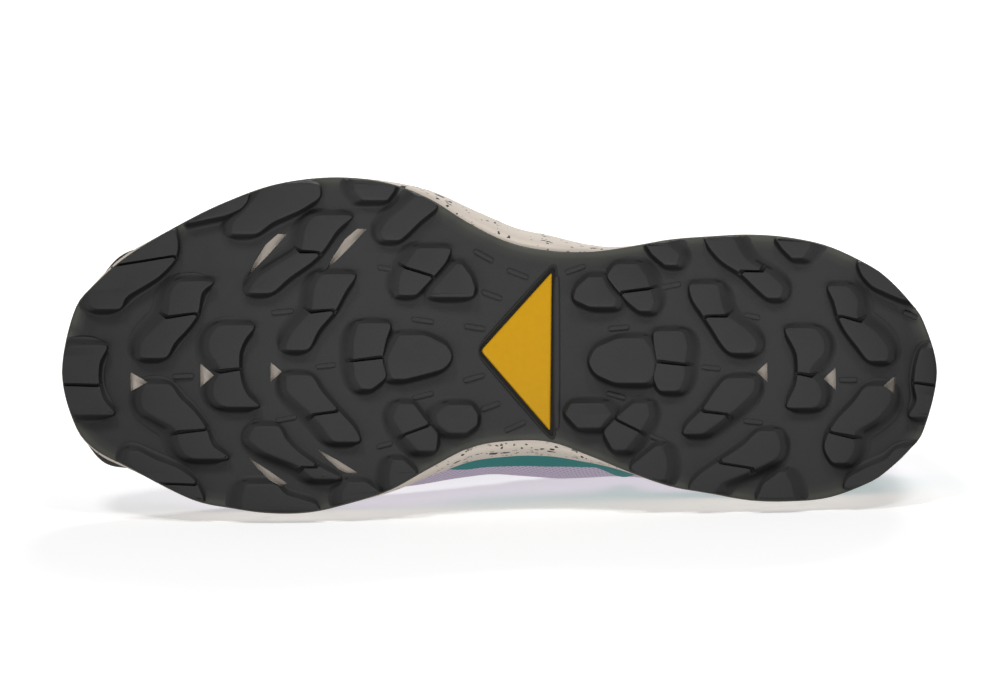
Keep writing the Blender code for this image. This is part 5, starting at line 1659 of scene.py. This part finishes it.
class SHOE_OT_stage(bpy.types.Operator):
    """Makes the pale floor, the soft lights and the camera that looks square at the tread"""

    bl_idname = "shoe.stage"
    bl_label = "Set the stage"

    def execute(self, context):
        self.floor()
        self.lights()
        self.camera()
        scene = context.scene
        scene.view_settings.view_transform = "Standard"
        scene.view_settings.look = "None"
        return {"FINISHED"}

    def floor(self):
        mesh = bpy.data.meshes.new("floor")
        reach = 30.0
        mesh.from_pydata([(-reach, -reach, 0), (reach, -reach, 0), (reach, reach, 0), (-reach, reach, 0)], [],
                         [(0, 1, 2, 3)])
        mesh.update()
        floor = add_object("floor", mesh)
        mesh.materials.append(new_material("pale_floor", colours().floor, 0.9,
                                           Emission_Color=(1.0, 1.0, 1.0, 1.0), Emission_Strength=0.40)[0])
        floor.visible_diffuse = False
        floor.visible_glossy = False

    def lights(self):
        """Two soft keys from above, one over each end of the shoe, a low soft box in front of the sole that
        lights the shoe from below as a white table does, and a white sky that is brighter under the horizon,
        which stands for the light that a white table throws back."""
        world = bpy.data.worlds.new("soft_white")
        bpy.context.scene.world = world
        world.use_nodes = True
        tree = world.node_tree
        sky = tree.nodes["Background"]
        sky.inputs["Color"].default_value = (1.0, 1.0, 1.0, 1.0)
        place = add_node(tree, "ShaderNodeTexCoord")
        split = add_node(tree, "ShaderNodeSeparateXYZ", {"Vector": place.outputs["Generated"]})
        tree.links.new(ramp(tree, split.outputs["Z"], -0.2, 0.1, 0.50, 0.20), sky.inputs["Strength"])
        for row in LAMPS:
            self.lamp(*row)

    def lamp(self, name, kind, place, aim, power):
        """A soft lamp: a sun 12 degrees wide, or a box 600 by 220 mm that the camera doesn't see."""
        data = bpy.data.lights.new(name, kind)
        data.energy = power
        if kind == "SUN":
            data.angle = math.radians(12.0)
        else:
            data.shape = "RECTANGLE"
            data.size = 0.6
            data.size_y = 0.22
        lamp = add_object(name, data)
        lamp.location = place
        lamp.rotation_euler = self.facing(np.array(aim), np.array([0.0, 1.0, 0.0]))
        lamp.visible_camera = False

    def facing(self, aim, up):
        """Euler angles of an object whose -Z looks along aim with its Y near up."""
        back = -unit(aim)
        right = unit(np.cross(up, back))
        top = np.cross(back, right)
        return Matrix(np.column_stack([right, top, back]).tolist()).to_euler()

    def camera(self):
        """A long lens square to the tread, with the tread where the photo has it."""
        s = sizes()
        scale = s.sole_length / (PHOTO_HEEL_X - PHOTO_TOE_X)
        middle_x = 0.5 * (PHOTO_TOE_X + PHOTO_HEEL_X)
        target = np.array([(0.5 * PHOTO_WIDTH - middle_x) * scale,
                           (0.5 * PHOTO_HEIGHT - PHOTO_MIDLINE_Y) * scale, 0.0])
        target = lay(target[None])[0]
        look = LAID[0] @ np.array([0.0, 0.0, 1.0])
        distance = 5.0
        data = bpy.data.cameras.new("photo_camera")
        data.sensor_width = 36.0
        data.lens = data.sensor_width * distance / (PHOTO_WIDTH * scale)
        data.clip_end = 100.0
        camera = add_object("photo_camera", data)
        camera.location = target - look * distance
        camera.rotation_euler = self.facing(look, LAID[0] @ np.array([0.0, -1.0, 0.0]))
        bpy.context.scene.camera = camera


class SHOE_PT_panel(bpy.types.Panel):
    """Lists the shoe's pieces, sizes and colours in the sidebar"""

    bl_idname = "SHOE_PT_panel"
    bl_label = "Trail running shoe"
    bl_space_type = "VIEW_3D"
    bl_region_type = "UI"
    bl_category = "Shoe"

    def draw(self, context):
        for operator in OPERATORS:
            self.layout.operator(operator.bl_idname)
        for group in (context.scene.shoe_sizes, context.scene.shoe_colours):
            box = self.layout.box()
            for name in group.__annotations__:
                box.prop(group, name)


OPERATORS = (SHOE_OT_tread, SHOE_OT_inset, SHOE_OT_midsole, SHOE_OT_upper, SHOE_OT_trim, SHOE_OT_insole,
             SHOE_OT_tongue, SHOE_OT_lace, SHOE_OT_stage)
CLASSES = (ShoeSizes, ShoeColours) + OPERATORS + (SHOE_PT_panel,)


def register():
    for cls in CLASSES:
        bpy.utils.register_class(cls)
    bpy.types.Scene.shoe_sizes = PointerProperty(type=ShoeSizes)
    bpy.types.Scene.shoe_colours = PointerProperty(type=ShoeColours)


def unregister():
    del bpy.types.Scene.shoe_sizes
    del bpy.types.Scene.shoe_colours
    for cls in reversed(CLASSES):
        bpy.utils.unregister_class(cls)


def main():
    global EDGE, LAID
    register()
    EDGE = Edge()
    LAID = laid_turn()
    bpy.ops.shoe.tread()
    bpy.ops.shoe.inset()
    bpy.ops.shoe.midsole()
    bpy.ops.shoe.upper()
    bpy.ops.shoe.trim()
    bpy.ops.shoe.insole()
    bpy.ops.shoe.tongue()
    bpy.ops.shoe.lace()
    bpy.ops.shoe.stage()


if __name__ == "__main__":
    main()
